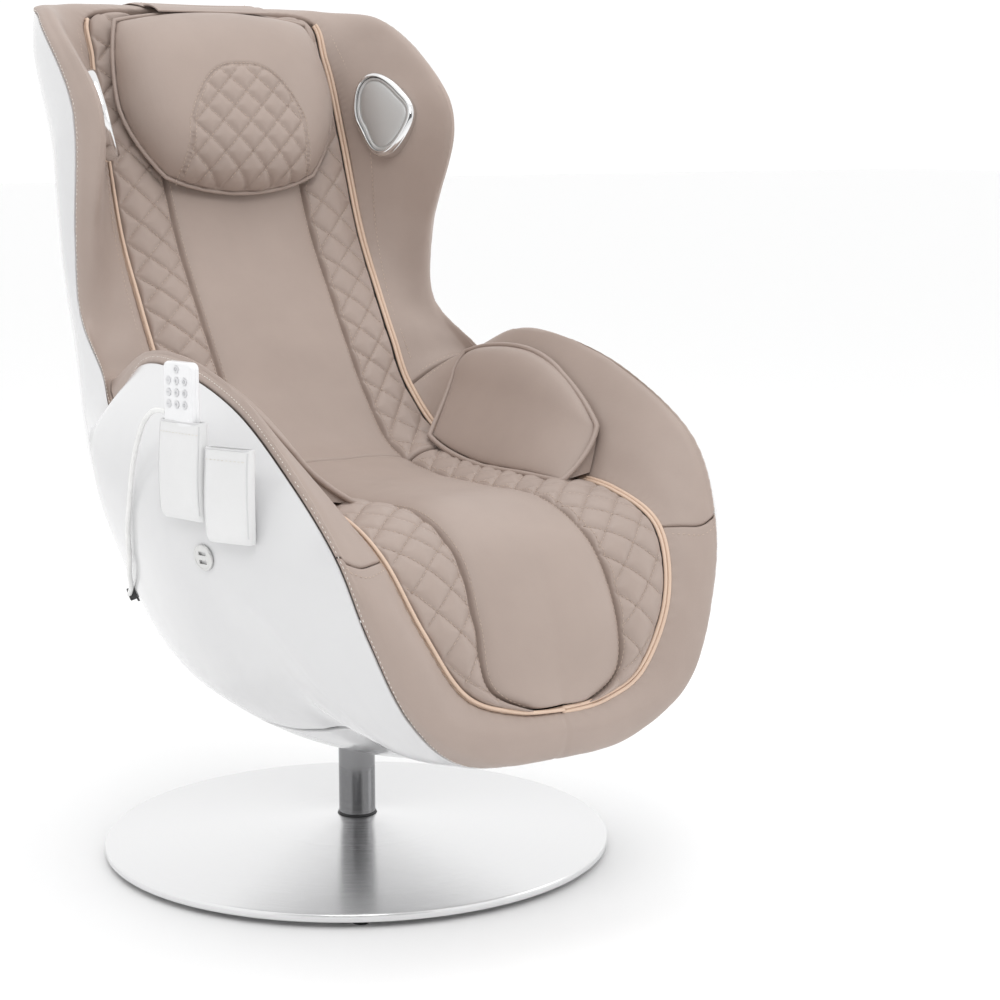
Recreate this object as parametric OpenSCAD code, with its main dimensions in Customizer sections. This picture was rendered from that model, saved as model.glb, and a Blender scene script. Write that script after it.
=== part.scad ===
// Swivel massage chair: egg-shaped tub on a round steel pedestal.
// Units are millimetres. +Z is up, the chair faces -Y, the sitter's left hand is +X.
// The origin is on the floor, on the swivel axis.

/* [Pedestal] */
// Diameter of the round base
base_d = 660; // [600:720]
// Outside diameter of the turning post
post_d = 48; // [42:56]
// Height of the rubber feet
foot_h = 8; // [6:12]

/* [Shell] */
// Wall thickness of the moulded shell
shell_t = 4; // [3:6]

/* [Upholstery] */
// Thickness of the seat and back pad
pad_t = 24; // [18:30]
// Radius of the piping cord
piping_r = 3.6; // [3:5]

/* [Handset] */
// Handset width, depth and length
handset = [50, 13, 172];
// Button travel
key_travel = 1.2; // [0.8:0.1:2]

/* [Massage unit] */
// Length of the two guide tubes
track_l = 330; // [280:340]
// Radius of the massage rollers
roller_r = 15; // [12:16]
// Running clearance on shafts
run = 0.05; // [0.03:0.01:0.09]

/* [Hidden] */
$fn = 48;

beige = [0.62, 0.53, 0.46];
tan = [0.86, 0.74, 0.64];
white = [0.93, 0.93, 0.94];
steel = [0.78, 0.78, 0.79];
dark = [0.12, 0.12, 0.13];
silver = [0.72, 0.72, 0.71];
grey = [0.42, 0.43, 0.45];

// Body cage. Each row runs from the top centre of the back, down the wing, over the arm
// and round to the front centre. Rows go from the piping, over the crest, to the back line.
row_pipe = [[0, 404, 1092], [160, 402, 1090], [181, 374, 1025], [184, 334, 920], [185, 290, 795],
  [184, 238, 705], [184, 200, 645], [185, 160, 584], [189, 75, 522], [192, -60, 503],
  [191, -195, 504], [193, -300, 498], [194, -388, 464], [172, -434, 388], [125, -449, 312],
  [62, -459, 286], [0, -462, 282]];
row_inner = [[0, 415, 1098], [180, 412, 1097], [222, 352, 1058], [228, 248, 940], [222, 250, 800],
  [216, 232, 703], [218, 198, 655], [224, 156, 608], [224, 60, 596], [224, -72, 592],
  [226, -202, 572], [226, -318, 535], [214, -406, 466], [190, -448, 384], [141, -461, 302],
  [70, -468, 274], [0, -470, 269]];
row_crest = [[0, 430, 1101], [200, 422, 1100], [250, 322, 1076], [258, 172, 955], [250, 216, 800],
  [246, 222, 700], [252, 196, 652], [262, 150, 622], [266, 38, 661], [264, -85, 661],
  [264, -212, 628], [264, -330, 566], [236, -416, 466], [208, -452, 380], [158, -468, 292],
  [80, -472, 258], [0, -473, 254]];
row_outer = [[0, 444, 1096], [212, 440, 1095], [262, 330, 1079], [274, 186, 957], [264, 222, 799],
  [262, 222, 700], [272, 178, 645], [284, 118, 612], [276, 34, 660], [276, -88, 661],
  [276, -218, 629], [276, -338, 566], [254, -416, 472], [228, -448, 384], [182, -464, 288],
  [98, -460, 235], [0, -461, 228]];
row_seam = [[0, 455, 1086], [206, 446, 1084], [268, 344, 1075], [282, 214, 958], [272, 240, 797],
  [270, 236, 698], [286, 138, 632], [302, 70, 590], [285, 26, 651], [287, -91, 654],
  [286, -224, 621], [286, -341, 558], [266, -408, 478], [242, -436, 388], [197, -447, 292],
  [112, -425, 224], [0, -425, 214]];
row_side1 = [[0, 461, 1065], [192, 457, 1052], [260, 382, 1040], [277, 290, 930], [268, 290, 775],
  [266, 262, 668], [302, 160, 582], [345, 50, 560], [360, -5, 568], [365, -95, 565],
  [359, -190, 550], [337, -292, 515], [302, -370, 450], [264, -405, 358], [202, -426, 268],
  [106, -412, 219], [0, -415, 211]];
row_side2 = [[0, 463, 1040], [148, 463, 1012], [214, 430, 985], [230, 380, 880], [232, 348, 728],
  [234, 312, 606], [264, 205, 490], [308, 55, 440], [340, -10, 440], [351, -100, 430],
  [353, -185, 428], [336, -270, 425], [309, -335, 388], [263, -375, 318], [190, -405, 248],
  [86, -402, 213], [0, -405, 208]];
row_side3 = [[0, 463, 1015], [80, 463, 975], [130, 460, 925], [150, 445, 812], [150, 412, 668],
  [150, 362, 540], [162, 285, 430], [215, 90, 300], [245, -15, 272], [252, -100, 260],
  [246, -185, 260], [240, -255, 272], [230, -310, 282], [196, -350, 256], [132, -388, 224],
  [45, -392, 207], [0, -395, 205]];
row_back = [[0, 462, 990], [0, 462, 945], [0, 462, 880], [0, 452, 775], [0, 424, 645],
  [0, 374, 508], [0, 296, 376], [0, 176, 250], [0, 52, 172], [0, -60, 152],
  [0, -140, 157], [0, -205, 166], [0, -265, 176], [0, -318, 187], [0, -355, 196],
  [0, -378, 201], [0, -385, 203]];
CAGE = [row_pipe, row_inner, row_crest, row_outer, row_seam, row_side1, row_side2, row_side3,
  row_back];
n_row = len(CAGE) - 1;
n_col = len(row_pipe) - 1;
u_seam = 4;
u_back = n_row;
v_notch = 7;
v_arm_front = 12;

// Pad cage: centre line, centre panel mid, strip seam and strip mid. The edge is row_pipe.
pad_centre = [[0, 398, 1090], [0, 396, 1088], [0, 372, 1025], [0, 331, 915], [0, 281, 795],
  [0, 222, 703], [0, 182, 645], [0, 136, 582], [0, 66, 520], [0, -45, 497],
  [0, -185, 498], [0, -300, 500], [0, -392, 462], [0, -438, 388], [0, -453, 320],
  [0, -462, 292], [0, -463, 286]];
pad_seam = [[0, 402, 1090], [100, 400, 1088], [103, 376, 1025], [104, 335, 915], [104, 285, 795],
  [104, 226, 703], [104, 186, 645], [104, 140, 582], [103, 68, 516], [102, -45, 492],
  [98, -185, 492], [92, -300, 495], [94, -388, 458], [98, -433, 388], [92, -449, 320],
  [46, -460, 290], [0, -462, 286]];

function mx(p) = [-p[0], p[1], p[2]];
function cr(a, b, c, d, t) = 0.5 * (2 * b + (c - a) * t + (2 * a - 5 * b + 4 * c - d) * t * t
  + (3 * b - a - 3 * c + d) * t * t * t);
function cage(r, c) = c < 0 ? mx(cage(r, -c))
  : c > n_col ? mx(cage(r, 2 * n_col - c))
  : r < 0 ? 2 * CAGE[0][c] - CAGE[1][c]
  : r > n_row ? mx(CAGE[2 * n_row - r][c])
  : CAGE[r][c];
function along(r, j, t) = cr(cage(r, j - 1), cage(r, j), cage(r, j + 1), cage(r, j + 2), t);
// Point of the right-hand half of the body; u past the back line gives the left half
function body(u, v) = u > n_row ? mx(body(2 * n_row - u, v))
  : v > n_col ? mx(body(u, 2 * n_col - v))
  : let(i = min(floor(u), n_row - 1), j = min(floor(v), n_col - 1), t = v - j)
    cr(along(i - 1, j, t), along(i, j, t), along(i + 1, j, t), along(i + 2, j, t), u - i);
function unit(a) = a / max(norm(a), 1e-9);
function body_n(u, v) = unit(cross(body(u, v + 0.02) - body(u, v - 0.02),
  body(u + 0.02, v) - body(u - 0.02, v)));
function rail(k, v) = let(j = min(floor(v), n_col - 1), t = v - j, q = k,
  g = function(c) c < 0 ? mx(q[-c]) : c > n_col ? mx(q[2 * n_col - c]) : q[c])
  cr(g(j - 1), g(j), g(j + 1), g(j + 2), t);
function steps(a, b, n) = [for (i = [0 : n]) a + (b - a) * i / n];

// Spine that the upholstered bands thin out towards, under the chord from piping to seam
spine_near = 24;
spine_far = 134;
band_wall = 12;
function spine_depth(v) = v < v_notch ? spine_near + (spine_far - spine_near) * min(max((v - 4) / 1.5, 0), 1)
  : spine_near;
function band_up(v) = unit(body_n(1, v) + body_n(2, v) + body_n(3, v));
function spine(v) = let(m = (body(0, v) + body(u_seam, v)) / 2, n = band_up(min(v, n_col - 0.03)))
  m - n * (spine_depth(v) + 0.35 * max(0, (body(2, v) - m) * n));

// Closed solid between two grids of the same size
module sheet(top, under) {
  n = len(top);
  m = len(top[0]);
  pts = [for (g = [top, under]) for (r = g) for (p = r) p];
  k = n * m;
  faces = concat(
    [for (i = [0 : n - 2]) for (j = [0 : m - 2]) each
      [[i * m + j, i * m + j + 1, (i + 1) * m + j + 1], [i * m + j, (i + 1) * m + j + 1, (i + 1) * m + j]]],
    [for (i = [0 : n - 2]) for (j = [0 : m - 2]) each
      [[k + i * m + j, k + (i + 1) * m + j + 1, k + i * m + j + 1],
       [k + i * m + j, k + (i + 1) * m + j, k + (i + 1) * m + j + 1]]],
    [for (j = [0 : m - 2]) each [[j + 1, j, k + j], [j + 1, k + j, k + j + 1]]],
    [for (j = [0 : m - 2]) let(a = (n - 1) * m + j) each [[a, a + 1, k + a + 1], [a, k + a + 1, k + a]]],
    [for (i = [0 : n - 2]) each [[i * m, (i + 1) * m, k + (i + 1) * m], [i * m, k + (i + 1) * m, k + i * m]]],
    [for (i = [0 : n - 2]) let(a = i * m + m - 1, b = a + m) each [[b, a, k + a], [b, k + a, k + b]]]);
  polyhedron(pts, faces, convexity = 12);
}

// Tube along a list of points
module tube(path, r, sides) {
  n = len(path);
  ring = [for (i = [0 : n - 1])
    let(d = unit(path[min(i + 1, n - 1)] - path[max(i - 1, 0)]),
      a = unit(cross(d, abs(d[2]) > 0.9 ? [0, 1, 0] : [0, 0, 1])), b = cross(d, a))
    [for (s = [0 : sides - 1]) path[i] + r * (cos(360 * s / sides) * a + sin(360 * s / sides) * b)]];
  m = sides;
  faces = concat(
    [for (i = [0 : n - 2]) for (s = [0 : m - 1]) let(t = (s + 1) % m) each
      [[i * m + s, (i + 1) * m + t, i * m + t], [i * m + s, (i + 1) * m + s, (i + 1) * m + t]]],
    [[for (s = [0 : m - 1]) s]],
    [[for (s = [m - 1 : -1 : 0]) (n - 1) * m + s]]);
  polyhedron([for (q = ring) for (p = q) p], faces, convexity = 8);
}

// Thin moulded skin over a patch of the body
module skin(us, vs) {
  top = [for (u = us) [for (v = vs) body(u, v)]];
  under = [for (u = us) [for (v = vs) body(u, v) - shell_t * body_nn(u, v)]];
  sheet(top, under);
}
function body_nn(u, v) = u > n_row ? mx(body_n(2 * n_row - u, v)) : body_n(u, min(v, n_col - 0.03));

// Upholstered band over a patch, thinned towards the spine
module band(us, vs) {
  top = [for (u = us) [for (v = vs) body(u, v)]];
  under = [for (u = us) [for (v = vs) band_in(u, v)]];
  sheet(top, under);
}
function band_in(u, v) = let(p = body(u, v), s = spine_m(v),
    w = pow(max(0, (u - rim_from) / (u_seam - rim_from)), 2) * min(max(rim_to - v, 0), 1))
  p + unit(unit(s - p) * (1 - w) - body_nn(u, v) * w) * norm(s - p) * band_wall / (spine_depth(v) + 16);
rim_from = 2.6;
rim_to = 6;
function spine_m(v) = v > n_col ? mx(spine(2 * n_col - v)) : spine(v);

// Places children on the body, Z along the outward normal and X level
module on_body(at) {
  p = body(at[0], at[1]);
  z = body_n(at[0], at[1]);
  x = unit(cross([0, 0, 1], z));
  y = cross(z, x);
  multmatrix([[x[0], y[0], z[0], p[0]], [x[1], y[1], z[1], p[1]], [x[2], y[2], z[2], p[2]], [0, 0, 0, 1]])
    children();
}

// --- Pedestal ---------------------------------------------------------------------------
spigot_r = 19;
washer_z = 43;
disc_r = base_d / 2;
rim_z = foot_h;
post_top = 188;

module base_disc() color(steel)
  rotate_extrude($fn = 96) polygon([[spigot_r + 7, washer_z - 6], [60, washer_z - 12], [120, 30 - 4],
    [200, 25 - 4], [290, 20 - 4], [disc_r - 5, 18 - 4], [disc_r - 4, rim_z], [disc_r - 1, rim_z],
    [disc_r, rim_z + 2], [disc_r, rim_z + 8], [disc_r - 2, rim_z + 10], [290, 21], [200, 26.5],
    [120, 32], [60, 38], [36, 42], [spigot_r + 7, washer_z]]);

module ballast_plate() color(dark)
  difference() {
    translate([0, 0, foot_h + 1]) cylinder(r = 285, h = 5, $fn = 96);
    translate([0, 0, foot_h - 1]) cylinder(r = spigot_r + 3, h = 9);
  }

foot_r = 10;
foot_pitch = 305;
module base_feet() color(dark)
  for (k = [0 : 4]) rotate(240 + 72 * k) translate([foot_pitch, 0, 0])
    cylinder(r = foot_r, h = 14.5, $fn = 32);

module base_spigot() color(steel)
  union() {
    translate([0, 0, foot_h + 1]) cylinder(r = spigot_r + 2.5, h = 8);
    translate([0, 0, foot_h + 1]) cylinder(r = spigot_r, h = post_top - 24);
  }

module thrust_washer() color(dark)
  translate([0, 0, washer_z + 0.4]) difference() {
    cylinder(r = post_d / 2 + 1, h = 2.4);
    translate([0, 0, -1]) cylinder(r = spigot_r + 0.4, h = 5);
  }

module post_tube() color(steel)
  difference() {
    translate([0, 0, washer_z + 3.2]) cylinder(r = post_d / 2, h = post_top - washer_z - 3.2);
    translate([0, 0, washer_z]) cylinder(r = spigot_r + run, h = post_top);
  }

plate_x = 75;
module mount_plate() color(grey)
  difference() {
    translate([-plate_x, -100, post_top + 0.3]) cube([2 * plate_x, 132, 8]);
    for (sx = [-1, 1]) for (y = [-80, 18]) translate([sx * 60, y, post_top - 1]) cylinder(r = 4.3, h = 12);
  }

module mount_bolts() color(steel) {
  translate([0, 0, post_top + 8.5]) cylinder(r = 15, h = 5);
  for (sx = [-1, 1]) for (y = [-80, 18]) translate([sx * 60, y, 0]) {
    translate([0, 0, post_top + 8.5]) cylinder(r = 7, h = 5, $fn = 24);
    translate([0, 0, post_top - 3]) cylinder(r = 4, h = 12);
  }
}

// --- Frame ------------------------------------------------------------------------------
frame_z = post_top + 44;
rail_x = 120;
rail_w = 24;
frame_l = 340;
module seat_frame() color(grey) {
  for (sx = [-1, 1]) translate([sx * rail_x - rail_w / 2, -300, frame_z]) cube([rail_w, frame_l, rail_w]);
  for (y = [-300, -70, 10]) translate([-rail_x, y, frame_z + 1]) cube([2 * rail_x, rail_w, rail_w - 2]);
  for (sx = [-1, 1]) for (y = [-62, 18])
    translate([sx * 40 - 8, y, post_top + 8.6]) cube([16, 14, frame_z - post_top]);
  translate([-rail_x - 8, -300, frame_z + rail_w - 0.4]) cube([2 * rail_x + 16, frame_l, 2]);
}

back_w = 18;
module back_frame() color(grey) {
  for (sx = [-1, 1]) translate([sx * rail_x - back_w / 2 + 1, 44, frame_z]) cube([back_w - 2, back_w, 76]);
  for (sx = [-1, 1]) translate([sx * rail_x, 56, 296]) rotate([-34, 0, 0])
    translate([-back_w / 2, -back_w / 2, 0]) cube([back_w, back_w, 340]);
  translate([-rail_x, 45, frame_z + 1]) cube([2 * rail_x, back_w - 2, back_w]);
  translate([0, 56, 296]) rotate([-34, 0, 0])
    translate([-rail_x, -back_w / 2 + 1, 304]) cube([2 * rail_x, back_w - 2, 19.8]);
}

// --- Shell ------------------------------------------------------------------------------
cover_u = 7.25;
gap_u = 0.03;
post_hole_r = post_d / 2 + 3;

module bottom_cover() color(white)
  difference() {
    skin(concat(steps(cover_u + gap_u, u_back, 4), [for (u = steps(u_back, cover_u + gap_u, 4)) if (u < u_back) 2 * n_row - u]),
      steps(v_notch + gap_u, n_col - 0.02, 22));
    translate([0, 0, 120]) cylinder(r = post_hole_r, h = 60, $fn = 12);
  }

module rear_shell() color(white)
  skin(concat(steps(u_seam + gap_u, u_back, 12), [for (u = steps(u_back, u_seam + gap_u, 12)) if (u < u_back) 2 * n_row - u]),
    steps(0.01, v_notch - gap_u, 20));

module side_panel() skin(steps(u_seam + gap_u, cover_u - gap_u, 11), steps(v_notch + gap_u, n_col - 0.02, 24));
module side_panel_left() color(white) side_panel();
module side_panel_right() color(white) mirror([1, 0, 0]) difference() {
  side_panel();
  on_body(usb_at) translate([0, 0, -20]) cylinder(r = usb_r - 2, h = 40, $fn = 24);
}

// --- Upholstery -------------------------------------------------------------------------
edge_u = 0.12;
module wing() band(steps(edge_u, u_seam - gap_u, 12), steps(0.01, v_notch - gap_u, 24));
module arm() band(steps(edge_u, u_seam - gap_u, 12), steps(v_notch + gap_u, v_arm_front - gap_u, 18));
module wing_left() color(beige) wing();
module wing_right() color(beige) mirror([1, 0, 0]) wing();
module arm_left() color(beige) arm();
module arm_right() color(beige) mirror([1, 0, 0]) arm();
module front_band() color(beige) difference() {
  band(steps(edge_u, u_seam - gap_u, 10), concat(steps(v_arm_front + gap_u, n_col, 12),
    [for (v = steps(n_col, v_arm_front + gap_u, 12)) if (v < n_col) 2 * n_col - v]));
  piping();
}

// Half section of the pad, from the centre line to the piping
function pad_pt(s, v) = let(c = rail(pad_centre, v), q = rail(pad_seam, v), e = rail(row_pipe, v),
    edge = e + unit([q[0] - e[0], 0, 0]) * 5.5, a = abs(s), n = pad_up(v),
    p = a < 0.55 ? let(t = a / 0.55) c + (q - c) * t + n * 3 * sin(180 * t)
      : let(t = (a - 0.55) / 0.45) q + (edge - q) * t + n * 7 * sin(180 * t))
  s < 0 ? mx(p) : p;
function pad_up(v) = let(d = unit(rail(pad_centre, v + 0.1) - rail(pad_centre, v - 0.1))) unit([0, d[2], -d[1]]);
pad_s = [-1, -0.9, -0.775, -0.65, -0.55, -0.37, -0.18, 0, 0.18, 0.37, 0.55, 0.65, 0.775, 0.9, 1];
module pad(v0, v1, n) {
  vs = steps(v0, v1, n);
  top = [for (s = pad_s) [for (v = vs) pad_pt(s, v)]];
  under = [for (s = pad_s) [for (v = vs) pad_pt(s, v) - pad_t * pad_up(v)]];
  sheet(top, under);
}
v_crease = 8.35;
module back_pad() color(beige) pad(1.1, v_crease - 0.04, 34);
module seat_pad() color(beige) difference() {
  pad(v_crease + 0.02, 15.3, 32);
  piping();
}

module piping() color(tan)
  tube(concat([for (v = steps(1.25, n_col, 44)) body(0, v)], [for (v = steps(n_col, 1.25, 44)) if (v < n_col) mx(body(0, v))]),
    piping_r, 6);

// Square to rounded-square map, for padded outlines
function soft_sq(a, b, k) = [a * sqrt(1 - k * b * b), b * sqrt(1 - k * a * a)];
function crown(a, b, p) = sqrt(max(0, (1 - pow(abs(a), p)) * (1 - pow(abs(b), p))));
soft_s = steps(-1, 1, 12);

// --- Head pillow ------------------------------------------------------------------------
pillow = [332, 76, 264];
pillow_at = [0, 338.5, 967];
pillow_lean = 20.3;
function pillow_half(t) = pillow[0] / 2 * (1 - 0.15 * pow(max(0, -t), 1.5));
function pillow_round(t) = t > 0 ? 0.2 : 0.34;
module head_pillow() color(beige) translate(pillow_at) rotate([-pillow_lean, 0, 0])
  sheet([for (a = soft_s) [for (b = soft_s) let(q = soft_sq(a, b, pillow_round(b)))
      [q[0] * pillow_half(b), -3 - (pillow[1] - 3) * crown(a, b, 3), q[1] * pillow[2] / 2]]],
    [for (a = soft_s) [for (b = soft_s) let(q = soft_sq(a, b, pillow_round(b)))
      [q[0] * pillow_half(b), 3 * crown(a, b, 3), q[1] * pillow[2] / 2]]]);

function body_wide(u, v) = v < 0 ? mx(body(u, -v)) : body(u, v);
function body_wide_n(u, v) = v < 0 ? mx(body_n(u, max(-v, 0.03))) : body_n(u, max(v, 0.03));
strap_u = steps(0.5, 5.6, 14);
strap_v = steps(-0.45, 0.45, 4);
module pillow_strap() color(beige)
  sheet([for (u = strap_u) [for (v = strap_v) body_wide(u, v) + 3.6 * body_wide_n(u, v)]],
    [for (u = strap_u) [for (v = strap_v) body_wide(u, v) + 1.4 * body_wide_n(u, v)]]);

// --- Speakers ---------------------------------------------------------------------------
speaker_at = [0.8, 2.85];
speaker_lobes = [[-27, 34, 23], [-18, 4, 32], [7, -50, 17], [36, -3, 19], [16, -26, 27], [2, 22, 22]];
speaker_lift = 5;
module speaker_outline(grow) hull() for (k = speaker_lobes)
  translate([k[0], k[1]]) circle(r = k[2] + grow, $fn = 24);
module speaker_bezel() on_body(speaker_at) translate([0, 0, speaker_lift]) difference() {
  linear_extrude(9) speaker_outline(0);
  translate([0, 0, -1]) linear_extrude(12) speaker_outline(-6);
}
module speaker_grille() on_body(speaker_at) translate([0, 0, speaker_lift])
  linear_extrude(6.5) speaker_outline(-6.5);
module speaker_bezel_left() color(silver) speaker_bezel();
module speaker_bezel_right() color(silver) mirror([1, 0, 0]) speaker_bezel();
module speaker_grille_left() color(silver) speaker_grille();
module speaker_grille_right() color(silver) mirror([1, 0, 0]) speaker_grille();

// --- Arm pads ---------------------------------------------------------------------------
arm_pad_t = 26;
// The lower edge stands out over the seat
arm_pad_over = [-40, 0, 3];
function arm_round(a, b) = b > 0 ? (a > 0 ? 0.3 : 0.42) : (a > 0 ? 0.36 : 0.1);
function arm_uv(a, b) = let(q = soft_sq(a, b, arm_round(a, b)))
  [0.95 + (b > 0 ? 0.67 : 0.9) * q[1], 8.83 - (a > 0 ? 1.25 : 1.32) * q[0] - 0.14 * b];
function arm_out(b) = b < 0 ? b * b * arm_pad_over : [0, 0, 0];
function arm_pt(a, b, lift) = let(w = arm_uv(a, b)) body(w[0], w[1]) + lift * body_n(w[0], w[1]);
module arm_pad()
  sheet([for (a = soft_s) [for (b = soft_s) arm_pt(a, b, 4.5 + arm_pad_t * crown(a, b, 4)) + arm_out(b)]],
    [for (a = soft_s) [for (b = soft_s) arm_pt(0.93 * a, 0.87 * b, 1.5)]]);
module arm_pad_left() color(beige) arm_pad();
module arm_pad_right() color(beige) mirror([1, 0, 0]) arm_pad();

// --- Side pockets and handset -----------------------------------------------------------
pocket_t = 2;
pocket_depth = 19.5;
pocket_back = -10;
handset_at = [-366, -249, 508];
handset_yaw = 192;
phone_at = [-343, -314.8, 488];
phone_yaw = 205;
// Open-topped pouch: w along the side, h tall; X runs outward from the chair
module pouch(w, h) difference() {
  translate([pocket_back, -w / 2, 0]) cube([pocket_depth, w, h]);
  translate([pocket_back + pocket_t, -w / 2 + pocket_t, pocket_t])
    cube([pocket_depth - 2 * pocket_t, w - 2 * pocket_t, h]);
}
module handset_pocket() color(white) translate(handset_at) rotate(handset_yaw) pouch(72, 110);
module phone_pocket() color(white) translate(phone_at) rotate(phone_yaw) pouch(62, 105);

handset_x = -0.25;
handset_z = 4;
key_r = 4;
key_grid = 14;
key_top = 151;
module in_handset() translate(handset_at) rotate(handset_yaw) translate([handset_x, 0, handset_z]) children();
// Key position on the handset face, column -1 to 1 and row 0 at the top
function key_at(c, r) = [handset[1] / 2, c * key_grid, key_top - 13 * r];
module at_key(c, r) in_handset() translate(key_at(c, r)) rotate([0, 90, 0]) children();
module handset_body() color(white) difference() {
  in_handset() {
    corner = 8;
    translate([-handset[1] / 2, -handset[0] / 2 + corner, 0]) cube([handset[1], handset[0] - 2 * corner, handset[2]]);
    translate([-handset[1] / 2, -handset[0] / 2, corner]) cube([handset[1], handset[0], handset[2] - 2 * corner]);
    for (y = [-1, 1]) for (z = [corner, handset[2] - corner])
      translate([-handset[1] / 2, y * (handset[0] / 2 - corner), z]) rotate([0, 90, 0])
        cylinder(r = corner, h = handset[1]);
  }
  for (k = KEYS) at_key(k[0], k[1]) translate([0, 0, -3]) cylinder(r = key_r + 0.3, h = 5, $fn = 24);
}
KEYS = [[0, -1], [-1, 0], [0, 0], [1, 0], [-1, 1], [0, 1], [1, 1], [-1, 2], [0, 2], [1, 2]];
module key(k) color(grey) at_key(KEYS[k][0], KEYS[k][1]) translate([0, 0, -1.7])
  cylinder(r = key_r, h = 2.9, $fn = 24);

cord_r = 3;
cord_route = [[-373.6, -224.4, 626], [-376, -215, 627], [-377.5, -204, 626], [-378, -193, 621],
  [-379, -180, 611], [-379, -165, 592], [-379, -150, 565], [-378, -139, 538], [-376, -129, 512],
  [-373, -117, 488], [-367, -103, 463], [-357, -84, 437], [-347, -61, 413], [-334, -37, 394],
  [-322, -9, 381], [-314, 12, 372]];
function cord_pt(i, t) = let(n = len(cord_route) - 1, g = function(k) cord_route[max(0, min(n, k))])
  cr(g(i - 1), g(i), g(i + 1), g(i + 2), t);
module handset_cord() color(white)
  tube(concat([for (i = [0 : len(cord_route) - 2]) for (t = [0, 1 / 3, 2 / 3]) cord_pt(i, t)],
    [cord_route[len(cord_route) - 1]]), cord_r, 8);

gland_at = [6.4, 7.52];
module cord_gland() color(dark) mirror([1, 0, 0]) on_body(gland_at) {
  translate([0, 0, 0.8]) cylinder(r = 12, h = 2);
  translate([0, 0, 2.8]) cylinder(r = 8, h = 8);
}

// --- Ports ------------------------------------------------------------------------------
usb_at = [5.67, 10.85];
usb_r = 15;
module usb_port() color(silver) mirror([1, 0, 0]) on_body(usb_at) difference() {
  union() {
    translate([0, 0, 1]) cylinder(r = usb_r, h = 2);
    translate([0, 0, -16]) cylinder(r = usb_r - 3, h = 18);
  }
  for (y = [-5, 5]) translate([-6, y - 2.2, -8]) cube([12, 4.4, 20]);
}

inlet_at = [8, 6.3];
inlet_w = 56;
rocker_x = 17;
module inlet_panel() color(dark) on_body(inlet_at) difference() {
  translate([-inlet_w / 2, -16, 2.5]) cube([inlet_w, 32, 5]);
  translate([-22, -10.5, 4]) cube([27, 21, 9]);
  translate([rocker_x - 7, -10.5, 1]) cube([14, 21, 12]);
}
module power_rocker() color(dark) on_body(inlet_at) translate([rocker_x, 0, 6]) rotate([0, 90, 0])
  translate([0, 0, -6]) intersection() {
    cylinder(r = 9.6, h = 12);
    translate([-3.4, -10, 0]) cube([6.4, 20, 12]);
  }

// --- Massage unit -----------------------------------------------------------------------
track_at = [0, 250, 574];
track_lean = 27.6;
tube_x = 75;
tube_r = 7;
carriage_z = 130;
shaft_r = 5;
shaft_y = -9;
roller_y = -29;
roller_z = 42;
pin_r = 4;
module in_track() translate(track_at) rotate([-track_lean, 0, 0]) children();
module in_carriage() in_track() translate([0, 0, carriage_z]) children();
module x_rod(r, x0, x1) translate([x0, 0, 0]) rotate([0, 90, 0]) cylinder(r = r, h = x1 - x0);

module track_frame() color(steel) in_track() {
  for (sx = [-1, 1]) translate([sx * tube_x, 0, -8]) cylinder(r = tube_r, h = track_l + 46);
  for (z = [-14, track_l + 34]) translate([-90, -9, z]) cube([180, 27, 10]);
  translate([-4, 10, -8]) cube([8, 8, track_l + 46]);
}
module massage_carriage() color(dark) in_carriage() {
  difference() {
    union() {
      translate([-66, 2, -30]) cube([132, 5, 60]);
      for (sx = [-1, 1]) translate([sx * tube_x, 0, -20]) cylinder(r = tube_r + 5, h = 40);
    }
    for (sx = [-1, 1]) translate([sx * tube_x, 0, -40]) cylinder(r = tube_r + run, h = 80);
  }
  for (sx = [-1, 1]) translate([sx * 14 - 4, -16, -8]) cube([8, 18.5, 16]);
  translate([0, shaft_y, 0]) x_rod(shaft_r, -58, 58);
}
module carriage_motors() color(grey) in_carriage() translate([0, 21, 0]) {
  x_rod(13, -60, -12);
  x_rod(13, 12, 60);
}
arm_x = 30;
arm_w = 6;
module knead_arm() {
  difference() {
    union() {
      translate([0, shaft_y, 0]) x_rod(10.6, arm_x, arm_x + arm_w);
      translate([arm_x, roller_y, -7]) cube([arm_w, 20, 14]);
      translate([arm_x, roller_y - 5, -roller_z - 6]) cube([arm_w, 10, 2 * roller_z + 12]);
    }
    translate([0, shaft_y, 0]) x_rod(shaft_r + run, arm_x - 5, arm_x + arm_w + 5);
  }
  for (z = [-1, 1]) translate([0, roller_y, z * roller_z]) x_rod(pin_r, arm_x + arm_w - 1, arm_x + arm_w + 22);
}
module knead_arm_left() color(grey) in_carriage() knead_arm();
module knead_arm_right() color(grey) in_carriage() mirror([1, 0, 0]) knead_arm();
module roller(sz) translate([0, roller_y, sz * roller_z]) difference() {
  x_rod(roller_r, arm_x + arm_w + 3, arm_x + arm_w + 19);
  x_rod(pin_r + run, 0, 90);
}
module roller_left_upper() color(tan) in_carriage() roller(1);
module roller_left_lower() color(tan) in_carriage() roller(-1);
module roller_right_upper() color(tan) in_carriage() mirror([1, 0, 0]) roller(1);
module roller_right_lower() color(tan) in_carriage() mirror([1, 0, 0]) roller(-1);

// --- Equipment under the seat -----------------------------------------------------------
deck_z = frame_z + rail_w + 2.2;
module air_pump() color(dark) {
  translate([-112, -280, deck_z]) cube([100, 120, 72]);
  translate([-100, -140, deck_z]) cube([70, 34, 26]);
}
module control_box() color(grey) translate([12, -280, deck_z]) cube([100, 130, 38]);
module power_supply() color(silver) translate([-20, -120, deck_z]) cube([120, 80, 44]);

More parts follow.
